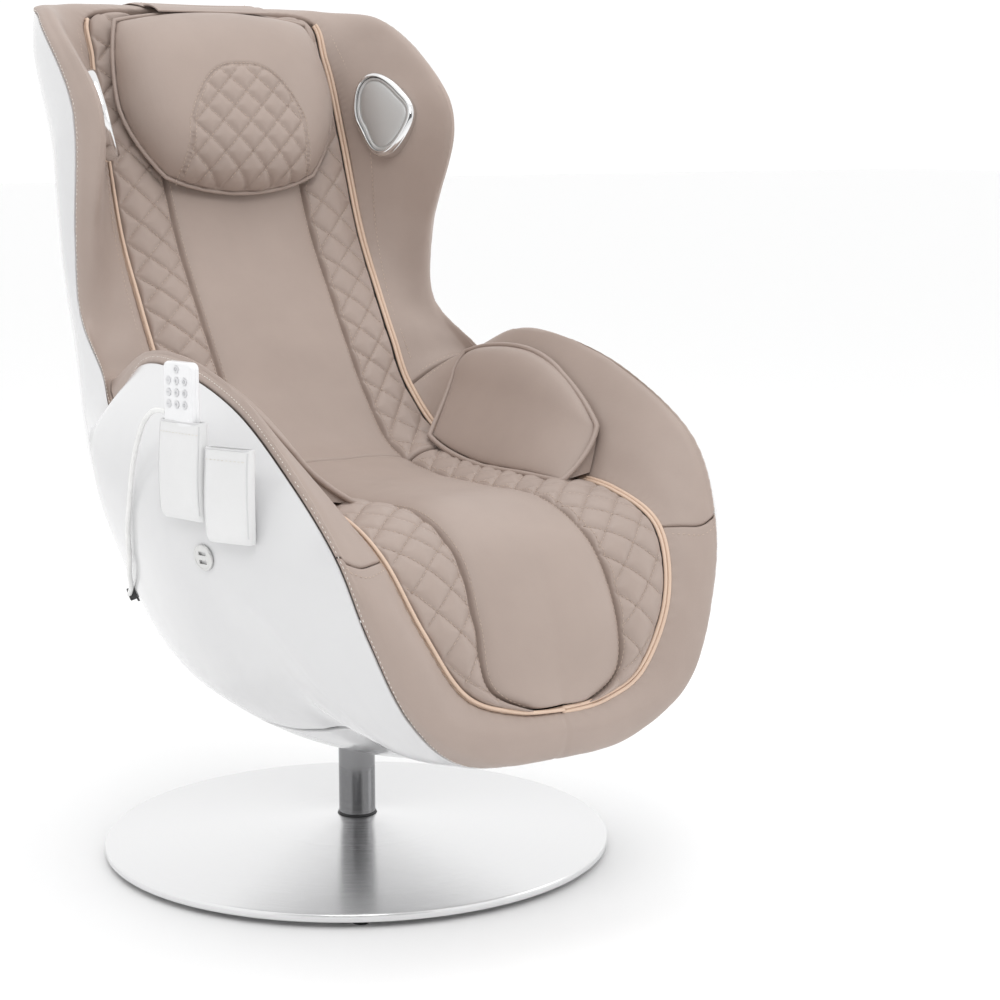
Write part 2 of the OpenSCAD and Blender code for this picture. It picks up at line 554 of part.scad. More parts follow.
base_disc();
ballast_plate();
base_feet();
base_spigot();
thrust_washer();
post_tube();
mount_plate();
mount_bolts();
seat_frame();
back_frame();
bottom_cover();
rear_shell();
side_panel_right();
side_panel_left();
wing_left();
wing_right();
arm_left();
arm_right();
front_band();
back_pad();
seat_pad();
piping();
head_pillow();
pillow_strap();
speaker_bezel_left();
speaker_bezel_right();
speaker_grille_left();
speaker_grille_right();
arm_pad_left();
arm_pad_right();
handset_pocket();
phone_pocket();
handset_body();
key(0);  // key_power
key(1);  // key_auto
key(2);  // key_knead
key(3);  // key_tap
key(4);  // key_heat
key(5);  // key_air
key(6);  // key_music
key(7);  // key_up
key(8);  // key_timer
key(9);  // key_down
handset_cord();
cord_gland();
usb_port();
inlet_panel();
power_rocker();
track_frame();
massage_carriage();
carriage_motors();
knead_arm_left();
knead_arm_right();
roller_left_upper();
roller_left_lower();
roller_right_upper();
roller_right_lower();
air_pump();
control_box();
power_supply();
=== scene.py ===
import bpy
import bmesh
import math
import numpy as np
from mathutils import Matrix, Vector


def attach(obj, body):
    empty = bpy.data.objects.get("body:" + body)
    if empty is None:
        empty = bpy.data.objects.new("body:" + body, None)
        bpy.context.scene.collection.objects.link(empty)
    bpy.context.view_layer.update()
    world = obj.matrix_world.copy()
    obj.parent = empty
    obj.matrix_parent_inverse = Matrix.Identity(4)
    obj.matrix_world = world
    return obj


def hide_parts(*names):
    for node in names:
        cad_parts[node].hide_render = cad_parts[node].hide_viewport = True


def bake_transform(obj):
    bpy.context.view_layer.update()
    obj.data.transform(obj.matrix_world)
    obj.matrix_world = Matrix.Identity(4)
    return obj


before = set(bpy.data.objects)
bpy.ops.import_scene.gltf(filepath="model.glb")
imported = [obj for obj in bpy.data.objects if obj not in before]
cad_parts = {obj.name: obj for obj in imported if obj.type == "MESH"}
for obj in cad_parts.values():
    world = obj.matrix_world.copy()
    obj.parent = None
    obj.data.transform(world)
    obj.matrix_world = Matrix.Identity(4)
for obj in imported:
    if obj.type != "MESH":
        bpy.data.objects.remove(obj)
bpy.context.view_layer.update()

scene = bpy.context.scene


# --- camera
cam_data = bpy.data.cameras.new("camera")
cam_data.lens = 82.8
cam_data.sensor_width = 36.0
cam_data.clip_end = 50.0
camera = bpy.data.objects.new("camera", cam_data)
camera.location = (-1.4925, -2.5337, 0.948)
camera.rotation_euler = (math.radians(90 - 9.42), 0, math.radians(-34.18))
scene.collection.objects.link(camera)
scene.camera = camera
scene.view_settings.view_transform = "Standard"


# --- materials
def material(name, colour, rough=0.5, metal=0.0, spec=0.5, coat=0.0, aniso=0.0):
    m = bpy.data.materials.new(name)
    m.use_nodes = True
    b = m.node_tree.nodes["Principled BSDF"]
    b.inputs["Base Color"].default_value = (*colour, 1)
    b.inputs["Roughness"].default_value = rough
    b.inputs["Metallic"].default_value = metal
    b.inputs["Specular IOR Level"].default_value = spec
    b.inputs["Coat Weight"].default_value = coat
    b.inputs["Coat Roughness"].default_value = 0.05
    b.inputs["Anisotropic"].default_value = aniso
    return m


def node(m, kind, **values):
    n = m.node_tree.nodes.new(kind)
    for k, v in values.items():
        if k in n.inputs:
            n.inputs[k].default_value = v
        else:
            setattr(n, k, v)
    return n


def join(m, a, out, b, into):
    m.node_tree.links.new(a.outputs[out], b.inputs[into])


def bsdf(m):
    return m.node_tree.nodes["Principled BSDF"]


def coords(m, scale=(1, 1, 1)):
    t = node(m, "ShaderNodeTexCoord")
    p = node(m, "ShaderNodeMapping")
    p.inputs["Scale"].default_value = scale
    join(m, t, "Object", p, "Vector")
    return p


def vary_colour(m, dark, light, scale, low=0.3, high=0.7, stretch=(1, 1, 1)):
    c = coords(m, stretch)
    n = node(m, "ShaderNodeTexNoise", Scale=scale, Detail=6.0, Roughness=0.6)
    r = node(m, "ShaderNodeValToRGB")
    r.color_ramp.elements[0].position = low
    r.color_ramp.elements[0].color = (*dark, 1)
    r.color_ramp.elements[1].position = high
    r.color_ramp.elements[1].color = (*light, 1)
    join(m, c, "Vector", n, "Vector")
    join(m, n, "Fac", r, "Fac")
    join(m, r, "Color", bsdf(m), "Base Color")


def vary_rough(m, low, high, scale, stretch=(1, 1, 1)):
    c = coords(m, stretch)
    n = node(m, "ShaderNodeTexNoise", Scale=scale, Detail=4.0)
    r = node(m, "ShaderNodeMapRange")
    r.inputs["To Min"].default_value = low
    r.inputs["To Max"].default_value = high
    join(m, c, "Vector", n, "Vector")
    join(m, n, "Fac", r, "Value")
    join(m, r, "Result", bsdf(m), "Roughness")


def add_bump(m, kind, scale, distance, strength=0.5, stretch=(1, 1, 1), out="Fac", **more):
    c = coords(m, stretch)
    n = node(m, kind, Scale=scale, **more)
    b = node(m, "ShaderNodeBump", Strength=strength, Distance=distance)
    join(m, c, "Vector", n, "Vector")
    join(m, n, out, b, "Height")
    s = bsdf(m)
    if s.inputs["Normal"].is_linked:
        m.node_tree.links.new(s.inputs["Normal"].links[0].from_socket, b.inputs["Normal"])
    join(m, b, "Normal", s, "Normal")


def leather(name, dark, light, rough=(0.42, 0.56)):
    m = material(name, light, 0.5, spec=0.42)
    vary_colour(m, dark, light, 7.0, 0.25, 0.75)
    vary_rough(m, rough[0], rough[1], 35.0)
    add_bump(m, "ShaderNodeTexVoronoi", 820.0, 0.00012, 0.5, out="Distance")
    add_bump(m, "ShaderNodeTexNoise", 190.0, 0.0003, 0.3, Detail=5.0)
    s = bsdf(m)
    s.inputs["Sheen Weight"].default_value = 0.08
    s.inputs["Sheen Roughness"].default_value = 0.4
    return m


LEATHER = leather("beige_leather", (0.372, 0.296, 0.258), (0.420, 0.335, 0.292))
PIPING = leather("tan_piping_leather", (0.66, 0.49, 0.375), (0.74, 0.56, 0.44), (0.38, 0.5))
WHITE_LEATHER = leather("white_leather", (0.72, 0.72, 0.72), (0.79, 0.79, 0.79), (0.36, 0.5))
BINDING = leather("white_binding", (0.60, 0.60, 0.61), (0.70, 0.70, 0.70), (0.4, 0.5))

NOISE, WAVE = "ShaderNodeTexNoise", "ShaderNodeTexWave"


def finish(name, colour, rough, metal=0.0, tint=None, shine=None, grain=(600.0, 0.0001, 0.4), kind=NOISE, **more):
    """Material with uneven colour (dark, light, scale), uneven roughness (low, high, scale) and a fine bump."""
    extra = {"Detail": more.pop("Detail")} if "Detail" in more else {}
    m = material(name, colour, rough, metal, **more)
    if tint:
        vary_colour(m, *tint)
    if shine:
        vary_rough(m, *shine)
    add_bump(m, kind, *grain, **extra)
    return m


STITCH = finish("beige_thread", (0.62, 0.50, 0.42), 0.7, spec=0.3, kind=WAVE,
                tint=((0.50, 0.40, 0.33), (0.70, 0.58, 0.49), 400.0), grain=(900.0, 0.00015, 0.6, (1, 1, 2)))
LIGHT_STITCH = finish("pale_thread", (0.80, 0.76, 0.70), 0.65, spec=0.3, kind=WAVE,
                      tint=((0.70, 0.66, 0.60), (0.88, 0.85, 0.80), 400.0), grain=(900.0, 0.00015, 0.6))
GLOSS = finish("gloss_white_shell", (0.68, 0.68, 0.69), 0.16, spec=0.5, coat=0.55, shine=(0.13, 0.22, 28.0),
               tint=((0.67, 0.67, 0.677), (0.695, 0.695, 0.70), 5.0), grain=(60.0, 0.0001, 0.12), Detail=3.0)
# painted shade: the chrome's base colour is kept dark (0.24) so the post and its reflection in the disc look dark
# as if shaded
CHROME = finish("polished_chrome_painted_shade", (0.24, 0.24, 0.245), 0.07, 1.0, shine=(0.05, 0.13, 60.0, (1, 1, 8)),
                grain=(90.0, 0.00008, 0.1, (1, 1, 0.1)))
SILVER = finish("satin_silver", (0.66, 0.66, 0.65), 0.3, 1.0, shine=(0.24, 0.36, 150.0, (1, 1, 6)),
                grain=(500.0, 0.00004, 0.25, (1, 1, 6)))
POLISHED = finish("polished_rim", (0.80, 0.80, 0.80), 0.1, 1.0, shine=(0.07, 0.14, 90.0),
                  grain=(200.0, 0.00003, 0.1))
PLATE = finish("satin_plate", (0.56, 0.56, 0.555), 0.42, 0.85, shine=(0.36, 0.5, 260.0),
               grain=(1400.0, 0.00008, 0.5))
RUBBER = finish("black_rubber", (0.02, 0.02, 0.021), 0.65, spec=0.3, grain=(600.0, 0.0002, 0.4),
                tint=((0.014, 0.014, 0.015), (0.03, 0.03, 0.031), 200.0))
BLACK = finish("black_moulding", (0.025, 0.025, 0.027), 0.38, shine=(0.3, 0.45, 80.0),
               tint=((0.02, 0.02, 0.022), (0.034, 0.034, 0.036), 90.0), grain=(1100.0, 0.0001, 0.35))
HANDSET = finish("white_moulding", (0.84, 0.84, 0.85), 0.24, coat=0.2, shine=(0.2, 0.3, 120.0),
                 tint=((0.82, 0.82, 0.83), (0.86, 0.86, 0.87), 40.0), grain=(900.0, 0.00004, 0.2))
KEY = finish("grey_key", (0.42, 0.43, 0.45), 0.45, tint=((0.38, 0.39, 0.41), (0.47, 0.48, 0.5), 300.0),
             grain=(900.0, 0.00006, 0.4))
KEYCAP = finish("white_key", (0.70, 0.70, 0.71), 0.4, tint=((0.66, 0.66, 0.67), (0.74, 0.74, 0.75), 300.0),
                grain=(900.0, 0.00006, 0.4))
CORD = finish("white_cord", (0.83, 0.83, 0.82), 0.42, spec=0.45, grain=(700.0, 0.0001, 0.3),
              tint=((0.78, 0.78, 0.77), (0.86, 0.86, 0.85), 90.0))
CAST = finish("cast_iron", (0.09, 0.09, 0.095), 0.6, 0.6, grain=(300.0, 0.0004, 0.5),
              tint=((0.06, 0.06, 0.065), (0.12, 0.12, 0.125), 60.0))
FRAME = finish("painted_frame_steel", (0.05, 0.05, 0.055), 0.4, 0.2, grain=(500.0, 0.0001, 0.4),
               tint=((0.04, 0.04, 0.045), (0.07, 0.07, 0.075), 30.0))
ZINC = finish("zinc_bolt", (0.6, 0.6, 0.58), 0.32, 1.0, shine=(0.26, 0.4, 200.0), grain=(700.0, 0.00006, 0.3))
MOTOR = finish("motor_housing", (0.3, 0.31, 0.32), 0.35, 0.9, shine=(0.3, 0.44, 90.0),
               grain=(800.0, 0.00006, 0.3))
ROLLER = finish("roller_rubber", (0.62, 0.45, 0.3), 0.6, grain=(500.0, 0.0001, 0.4),
                tint=((0.55, 0.4, 0.27), (0.68, 0.5, 0.34), 90.0))

# disc with a turned finish, which spreads reflections along its radii
BRUSHED = material("brushed_steel", (0.82, 0.82, 0.825), 0.22, 1.0, aniso=0.8)
tangent = node(BRUSHED, "ShaderNodeTangent", direction_type="RADIAL", axis="Z")
join(BRUSHED, tangent, "Tangent", bsdf(BRUSHED), "Tangent")
bsdf(BRUSHED).inputs["Anisotropic Rotation"].default_value = 0.25
flat = coords(BRUSHED, (1, 1, 0))
radius = node(BRUSHED, "ShaderNodeVectorMath", operation="LENGTH")
turned = node(BRUSHED, NOISE, noise_dimensions="1D", Scale=2600.0, Detail=5.0, Roughness=0.7)
turned_rough = node(BRUSHED, "ShaderNodeMapRange")
turned_rough.inputs["To Min"].default_value = 0.2
turned_rough.inputs["To Max"].default_value = 0.32
turned_bump = node(BRUSHED, "ShaderNodeBump", Strength=0.25, Distance=0.00004)
join(BRUSHED, flat, "Vector", radius, 0)
join(BRUSHED, radius, "Value", turned, "W")
join(BRUSHED, turned, "Fac", turned_rough, "Value")
join(BRUSHED, turned_rough, "Result", bsdf(BRUSHED), "Roughness")
join(BRUSHED, turned, "Fac", turned_bump, "Height")
join(BRUSHED, turned_bump, "Normal", bsdf(BRUSHED), "Normal")

BY_NODE = {"base_feet": RUBBER, "thrust_washer": BLACK, "mount_plate": FRAME, "mount_bolts": ZINC,
           "seat_frame": FRAME, "back_frame": FRAME, "ballast_plate": CAST, "base_spigot": CHROME,
           "post_tube": CHROME, "track_frame": ZINC, "massage_carriage": BLACK,
           "carriage_motors": MOTOR, "knead_arm_left": MOTOR, "knead_arm_right": MOTOR,
           "roller_left_upper": ROLLER, "roller_left_lower": ROLLER, "roller_right_upper": ROLLER,
           "roller_right_lower": ROLLER, "air_pump": BLACK, "control_box": MOTOR,
           "power_supply": SILVER, "inlet_panel": BLACK, "power_rocker": BLACK,
           "cord_gland": BLACK, "usb_port": SILVER, "handset_body": HANDSET}
for name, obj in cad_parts.items():
    look = BY_NODE.get(name, KEYCAP if name.startswith("key_") else LEATHER)
    for slot in obj.material_slots:
        slot.material = look


# --- meshes
def build(name, verts, faces, mat, rides="chair", slot=None, replaces=(), angle=35, weld=False):
    me = bpy.data.meshes.new(name)
    me.from_pydata(np.asarray(verts, float).reshape(-1, 3).tolist(), [], faces)
    if weld:
        bm = bmesh.new()
        bm.from_mesh(me)
        bmesh.ops.remove_doubles(bm, verts=bm.verts, dist=2e-5)
        bm.to_mesh(me)
        bm.free()
    me.shade_smooth()
    if angle:
        me.set_sharp_from_angle(angle=math.radians(angle))
    me.materials.append(mat)
    me.update()
    obj = bpy.data.objects.new(name, me)
    scene.collection.objects.link(obj)
    if rides:
        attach(obj, rides)
    if replaces:
        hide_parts(*replaces)
    return obj


def solid_faces(n, m):
    k = n * m
    i, j = np.meshgrid(np.arange(n - 1), np.arange(m - 1), indexing="ij")
    a = (i * m + j).ravel()
    top = np.stack([a, a + m, a + m + 1, a + 1], 1)
    low = np.stack([a, a + 1, a + m + 1, a + m], 1) + k
    j = np.arange(m - 1)
    b = (n - 1) * m + j
    i = np.arange(n - 1)
    c = i * m
    d = i * m + m - 1
    rims = [np.stack([j, j + 1, k + j + 1, k + j], 1), np.stack([b + 1, b, k + b, k + b + 1], 1),
            np.stack([c + m, c, k + c, k + c + m], 1), np.stack([d, d + m, k + d + m, k + d], 1)]
    return np.concatenate([top, low] + rims).tolist()


def solid(name, top, under, mat, **more):
    """Closed solid between two grids of points of one size."""
    n, m = top.shape[:2]
    verts = np.concatenate([top.reshape(-1, 3), under.reshape(-1, 3)])
    return build(name, verts, solid_faces(n, m), mat, **more)


def unit(a):
    return a / np.maximum(np.linalg.norm(a, axis=-1, keepdims=True), 1e-12)


def ring_faces(rings, n, closed=False, caps=False):
    """Quads between rings of n points, joined end to end if closed, with end faces if caps."""
    faces = []
    for i in range(rings if closed else rings - 1):
        a, b = i * n, (i + 1) % rings * n
        faces += [[a + s, a + (s + 1) % n, b + (s + 1) % n, b + s] for s in range(n)]
    if caps:
        faces += [list(range(n - 1, -1, -1)), [(rings - 1) * n + s for s in range(n)]]
    return faces


def tube_mesh(path, radius, sides=12, closed=False):
    """Vertices and faces of a round tube along a path; radius is one number or one for each point."""
    p = np.asarray(path, float)
    n = len(p)
    r = np.broadcast_to(np.asarray(radius, float), (n,))
    if closed:
        t = unit(np.roll(p, -1, 0) - np.roll(p, 1, 0))
    else:
        t = unit(np.concatenate([p[1:2] - p[:1], p[2:] - p[:-2], p[-1:] - p[-2:-1]]))
    side = np.empty_like(p)
    start = np.array([0, 0, 1.0]) if abs(t[0, 2]) < 0.9 else np.array([1.0, 0, 0])
    side[0] = unit(np.cross(t[0], start))
    for i in range(1, n):
        side[i] = unit(side[i - 1] - t[i] * np.dot(side[i - 1], t[i]))
    other = np.cross(t, side)
    a = np.arange(sides) * 2 * math.pi / sides
    ringp = p[:, None] + r[:, None, None] * (np.cos(a)[None, :, None] * side[:, None]
                                             + np.sin(a)[None, :, None] * other[:, None])
    faces = ring_faces(n, sides, caps=not closed)
    if closed:
        shift = int(np.argmin(np.linalg.norm(ringp[-1] - ringp[0, 0], axis=1)))
        last = (n - 1) * sides
        faces += [[last + (s + shift) % sides, last + (s + 1 + shift) % sides, (s + 1) % sides, s]
                  for s in range(sides)]
    return ringp.reshape(-1, 3), faces


def merge(parts):
    verts, faces, base = [], [], 0
    for v, f in parts:
        verts.append(v)
        faces += [[i + base for i in q] for q in f]
        base += len(v)
    return np.concatenate(verts), faces


def build_parts(name, parts, mat, **more):
    verts, faces = merge(parts)
    return build(name, verts, faces, mat, **more)


def turn(n):
    """Angles of n points around a circle."""
    return np.arange(n) * 2 * math.pi / n


def stitch_parts(path, up, length=0.0042, gap=0.0022, r=0.00045, lift=0.0002):
    """Small thread capsules along a path, each bedded in at its ends."""
    p = np.asarray(path, float)
    nn = np.asarray(up, float)
    s = np.concatenate([[0], np.cumsum(np.linalg.norm(np.diff(p, axis=0), axis=1))])
    out = []
    at = gap
    total = s[-1]
    while at + length < total:
        k = at + length * np.array([0, 0.2, 0.5, 0.8, 1.0])
        c = np.stack([np.interp(k, s, p[:, i]) for i in range(3)], 1)
        q = unit(np.stack([np.interp(k, s, nn[:, i]) for i in range(3)], 1))
        c = c + q * (lift + r * np.array([-1.2, 0.3, 0.7, 0.3, -1.2]))[:, None]
        out.append(tube_mesh(c, r * np.array([0.55, 1, 1, 1, 0.55]), 6))
        at += length + gap
    return out


# --- body surface
ROWS = [
    [(0, 404, 1092), (160, 402, 1090), (181, 374, 1025), (184, 334, 920), (185, 290, 795),
     (184, 238, 705), (184, 200, 645), (185, 160, 584), (189, 75, 522), (192, -60, 503),
     (191, -195, 504), (193, -300, 498), (194, -388, 464), (172, -434, 388), (125, -449, 312),
     (62, -459, 286), (0, -462, 282)],
    [(0, 415, 1098), (180, 412, 1097), (222, 352, 1058), (228, 248, 940), (222, 250, 800),
     (216, 232, 703), (218, 198, 655), (224, 156, 608), (224, 60, 596), (224, -72, 592),
     (226, -202, 572), (226, -318, 535), (214, -406, 466), (190, -448, 384), (141, -461, 302),
     (70, -468, 274), (0, -470, 269)],
    [(0, 430, 1101), (200, 422, 1100), (250, 322, 1076), (258, 172, 955), (250, 216, 800),
     (246, 222, 700), (252, 196, 652), (262, 150, 622), (266, 38, 661), (264, -85, 661),
     (264, -212, 628), (264, -330, 566), (236, -416, 466), (208, -452, 380), (158, -468, 292),
     (80, -472, 258), (0, -473, 254)],
    [(0, 444, 1096), (212, 440, 1095), (262, 330, 1079), (274, 186, 957), (264, 222, 799),
     (262, 222, 700), (272, 178, 645), (284, 118, 612), (276, 34, 660), (276, -88, 661),
     (276, -218, 629), (276, -338, 566), (254, -416, 472), (228, -448, 384), (182, -464, 288),
     (98, -460, 235), (0, -461, 228)],
    [(0, 455, 1086), (206, 446, 1084), (268, 344, 1075), (282, 214, 958), (272, 240, 797),
     (270, 236, 698), (286, 138, 632), (302, 70, 590), (285, 26, 651), (287, -91, 654),
     (286, -224, 621), (286, -341, 558), (266, -408, 478), (242, -436, 388), (197, -447, 292),
     (112, -425, 224), (0, -425, 214)],
    [(0, 461, 1065), (192, 457, 1052), (260, 382, 1040), (277, 290, 930), (268, 290, 775),
     (266, 262, 668), (302, 160, 582), (345, 50, 560), (360, -5, 568), (365, -95, 565),
     (359, -190, 550), (337, -292, 515), (302, -370, 450), (264, -405, 358), (202, -426, 268),
     (106, -412, 219), (0, -415, 211)],
    [(0, 463, 1040), (148, 463, 1012), (214, 430, 985), (230, 380, 880), (232, 348, 728),
     (234, 312, 606), (264, 205, 490), (308, 55, 440), (340, -10, 440), (351, -100, 430),
     (353, -185, 428), (336, -270, 425), (309, -335, 388), (263, -375, 318), (190, -405, 248),
     (86, -402, 213), (0, -405, 208)],
    [(0, 463, 1015), (80, 463, 975), (130, 460, 925), (150, 445, 812), (150, 412, 668),
     (150, 362, 540), (162, 285, 430), (215, 90, 300), (245, -15, 272), (252, -100, 260),
     (246, -185, 260), (240, -255, 272), (230, -310, 282), (196, -350, 256), (132, -388, 224),
     (45, -392, 207), (0, -395, 205)],
    [(0, 462, 990), (0, 462, 945), (0, 462, 880), (0, 452, 775), (0, 424, 645),
     (0, 374, 508), (0, 296, 376), (0, 176, 250), (0, 52, 172), (0, -60, 152),
     (0, -140, 157), (0, -205, 166), (0, -265, 176), (0, -318, 187), (0, -355, 196),
     (0, -378, 201), (0, -385, 203)]]
PAD_CENTRE = [(0, 398, 1090), (0, 396, 1088), (0, 372, 1025), (0, 331, 915), (0, 281, 795),
              (0, 222, 703), (0, 182, 645), (0, 136, 582), (0, 66, 520), (0, -45, 497),
              (0, -185, 498), (0, -300, 500), (0, -392, 462), (0, -438, 388), (0, -453, 320),
              (0, -462, 292), (0, -463, 286)]
PAD_SEAM = [(0, 402, 1090), (100, 400, 1088), (103, 376, 1025), (104, 335, 915), (104, 285, 795),
            (104, 226, 703), (104, 186, 645), (104, 140, 582), (103, 68, 516), (102, -45, 492),
            (98, -185, 492), (92, -300, 495), (94, -388, 458), (98, -433, 388), (92, -449, 320),
            (46, -460, 290), (0, -462, 286)]
MIRROR = np.array([-1.0, 1, 1])
C = np.array(ROWS, float) / 1000
NR, NC = C.shape[0] - 1, C.shape[1] - 1


def wrap_cols(a):
    """Mirrors the last columns past the centre lines, four on each side."""
    left = a[..., 4:0:-1, :] * MIRROR
    right = a[..., -2:-NC - 2:-1, :] * MIRROR
    return np.concatenate([left, a, right], axis=-2)


rows_all = [2 * C[0] - C[1]] + list(C) + [C[2 * NR - r] * MIRROR for r in range(NR + 1, 2 * NR + 1)]
rows_all.append((2 * C[0] - C[1]) * MIRROR)
GRID = wrap_cols(np.array(rows_all))
ROW0, COL0 = 1, 4


def weights(t):
    return 0.5 * np.stack([-t + 2 * t**2 - t**3, 2 - 5 * t**2 + 3 * t**3,
                           t + 4 * t**2 - 3 * t**3, -t**2 + t**3], -1)


def body(u, v):
    u, v = np.broadcast_arrays(np.asarray(u, float), np.asarray(v, float))
    i = np.clip(np.floor(u).astype(int), 0, 2 * NR - 1)
    j = np.clip(np.floor(v).astype(int), 1 - COL0, 2 * NC - 1)
    wu, wv = weights(u - i), weights(v - j)
    out = np.zeros(u.shape + (3,))
    for a in range(4):
        for b in range(4):
            out += (wu[..., a] * wv[..., b])[..., None] * GRID[i + a - 1 + ROW0, j + b - 1 + COL0]
    return out


def normal(u, v, h=0.02):
    return unit(np.cross(body(u, v + h) - body(u, v - h), body(u + h, v) - body(u - h, v)))


def rail(points, v):
    g = wrap_cols(np.array(points, float)[None] / 1000)[0]
    v = np.asarray(v, float)
    j = np.clip(np.floor(v).astype(int), 1 - COL0, 2 * NC - 1)
    w = weights(v - j)
    return sum(w[..., b][..., None] * g[j + b - 1 + COL0] for b in range(4))


def spread(fn, a, b, w, n, edge=(0.0, 0.0006, 0.0016, 0.003, 0.005), fine=260):
    """Parameters from a to b for each w, evenly spaced in length and close together at both ends.
    Returns the parameters and the distances from both ends."""
    w = np.asarray(w, float)
    t = np.linspace(a, b, fine)
    p = fn(t[:, None], w[None, :])
    s = np.concatenate([np.zeros((1, len(w))), np.cumsum(np.linalg.norm(np.diff(p, axis=0), axis=2), 0)])
    e = np.array(edge)
    out = np.empty((n + 2 * len(e), len(w)))
    dist = np.empty_like(out)
    for k in range(len(w)):
        length = s[-1, k]
        ee = e * min(1, 0.3 * length / e[-1])
        q = np.concatenate([ee, np.linspace(ee[-1], length - ee[-1], n + 2)[1:-1], (length - ee)[::-1]])
        out[:, k] = np.interp(q, s[:, k], t)
        dist[:, k] = q
    return out, dist, s[-1]


def patch(u0, u1, v0, v1, nu, nv, mid_u=None):
    """Parameter grids over a patch with the distances from its four sides, in metres."""
    mid = (u0 + u1) / 2 if mid_u is None else mid_u
    vs, dv, lv = spread(lambda t, w: body(w, t), v0, v1, np.array([mid]), nv)
    vs, dv = vs[:, 0], dv[:, 0]
    us, du, lu = spread(body, u0, u1, vs, nu)
    v = np.broadcast_to(vs[None, :], us.shape)
    along = np.broadcast_to(dv[None, :], us.shape)
    return us, v, du, lu[None, :] - du, along, lv[0] - along


def roll(e, r):
    """How far a rolled edge has dropped at distance e from the seam."""
    x = np.clip(r - e, 0, r)
    return r - np.sqrt(np.maximum(r * r - x * x, 0))


def ripple(p, size, amount, seed):
    """Slow smooth unevenness of hand-fitted upholstery."""
    g = np.random.default_rng(seed)
    out = 0
    for k in range(7):
        d = unit(g.normal(size=3))
        f = 2 * math.pi / (size * g.uniform(0.6, 1.7))
        out = out + np.sin((p @ d) * f + g.uniform(0, 6.28)) / 7
    return out * amount * 1.9


SPINE_NEAR, SPINE_FAR, BAND_WALL = 0.024, 0.134, 0.012


def spine_depth(v):
    far = SPINE_NEAR + (SPINE_FAR - SPINE_NEAR) * np.clip((v - 4) / 1.5, 0, 1)
    return np.where(v < 7, far, SPINE_NEAR)


def spine(v):
    m = (body(0, v) + body(4, v)) / 2
    n = unit(normal(1, v) + normal(2, v) + normal(3, v))
    rise = np.maximum(0, ((body(2, v) - m) * n).sum(-1))
    return m - n * (spine_depth(v) + 0.35 * rise)[..., None]


SEAM_R = 0.0042


def band(name, u0, u1, v0, v1, nu, nv, seed, mirror=False, open_v=(True, True), creases=()):
    """Leather-covered band with rolled seams on all sides."""
    u, v, a, b, c, d = patch(u0, u1, v0, v1, nu, nv, 2.0)
    p = body(u, v)
    n = normal(u, v)
    ends = np.minimum(c if open_v[0] else 1.0, d if open_v[1] else 1.0)
    e = np.minimum(np.minimum(a, b), ends)
    h = ripple(p, 0.16, 0.0010, seed) + ripple(p, 0.05, 0.0003, seed + 1)
    fade = np.clip(e / 0.02, 0, 1)
    pucker = np.sin(2 * math.pi * (c + 0.3 * a) / 0.017 + 2 * np.sin(c * 31)) * 0.00035
    pucker = pucker * np.exp(-((np.minimum(a, b) - 0.006) / 0.006) ** 2)
    h = h * fade + pucker - roll(e, SEAM_R)
    for at in creases:
        h = h - 0.0030 * np.exp(-((v - at) * 0.09 / 0.0016) ** 2)
    p = p + n * h[..., None]
    k = (BAND_WALL / (spine_depth(v) + 0.016))[..., None]
    q = p + (spine(v) - p) * k
    if mirror:
        p, q = p[::-1] * MIRROR, q[::-1] * MIRROR
    return p, q


def line_on_body(u, v, lift=0.0):
    u = np.broadcast_to(u, np.shape(v)) if np.ndim(u) == 0 else u
    n = normal(u, v)
    return body(u, v) + n * lift, n


def add_stitches(name, lines, mat, both=True, **kw):
    """Rows of thread along (points, normals) lines, on both sides of the chair if both."""
    parts = []
    for p, n in lines:
        parts += stitch_parts(p, n, **kw)
        if both:
            parts += stitch_parts(p * MIRROR, n * MIRROR, **kw)
    return build_parts(name, parts, mat, angle=0, slot="leather_beige")


# --- handset cord
CORD_ROUTE = np.array([
    (-373.5, -225, 626), (-376, -215, 627), (-377.5, -204, 626), (-378, -193, 621), (-379, -180, 611),
    (-379, -165, 592), (-379, -150, 565), (-378, -139, 538), (-376, -129, 512), (-373, -117, 488),
    (-367, -103, 463), (-357, -84, 437), (-347, -61, 413), (-334, -37, 394), (-322, -9, 381),
    (-314, 12, 372)], float) / 1000
CORD_R = 0.003


def smooth_path(points, per):
    p = np.concatenate([points[:1], points, points[-1:]])
    out = []
    for i in range(len(points) - 1):
        w = weights(np.arange(per) / per)
        out.append(w @ p[i:i + 4])
    return np.concatenate(out + [points[-1:]])


cord_path = smooth_path(CORD_ROUTE, 6)
cord_v, cord_f = tube_mesh(cord_path, CORD_R, 16)
cord = build("cord_of_handset", cord_v, cord_f, CORD, slot="handset_white", replaces=["handset_cord"],
             angle=60)

# --- white shell
GAP = 0.016


def shell_skin(u0, u1, v0, v1, nu, nv, wall=0.004, mirror=False):
    u, v, a, b, c, d = patch(u0, u1, v0, v1, nu, nv)
    p, n = body(u, v), normal(u, v)
    e = np.minimum(np.minimum(a, b), np.minimum(c, d))
    p = p - n * roll(e, 0.0014)[..., None]
    q = p - n * (wall - roll(e, 0.0014))[..., None]
    if mirror:
        p, q = p[::-1] * MIRROR, q[::-1] * MIRROR
    return p, q


p, q = shell_skin(4 + GAP, 12 - GAP, 0.02, 7 - GAP, 120, 120)
solid("shell_rear", p, q, GLOSS, slot="shell_white", replaces=["rear_shell"])
for side, mirrored in (("left", False), ("right", True)):
    p, q = shell_skin(4 + GAP, 7.25 - GAP, 7 + GAP, 15.985, 70, 150, mirror=mirrored)
    solid("shell_side_" + side, p, q, GLOSS, slot="shell_white", replaces=["side_panel_" + side])

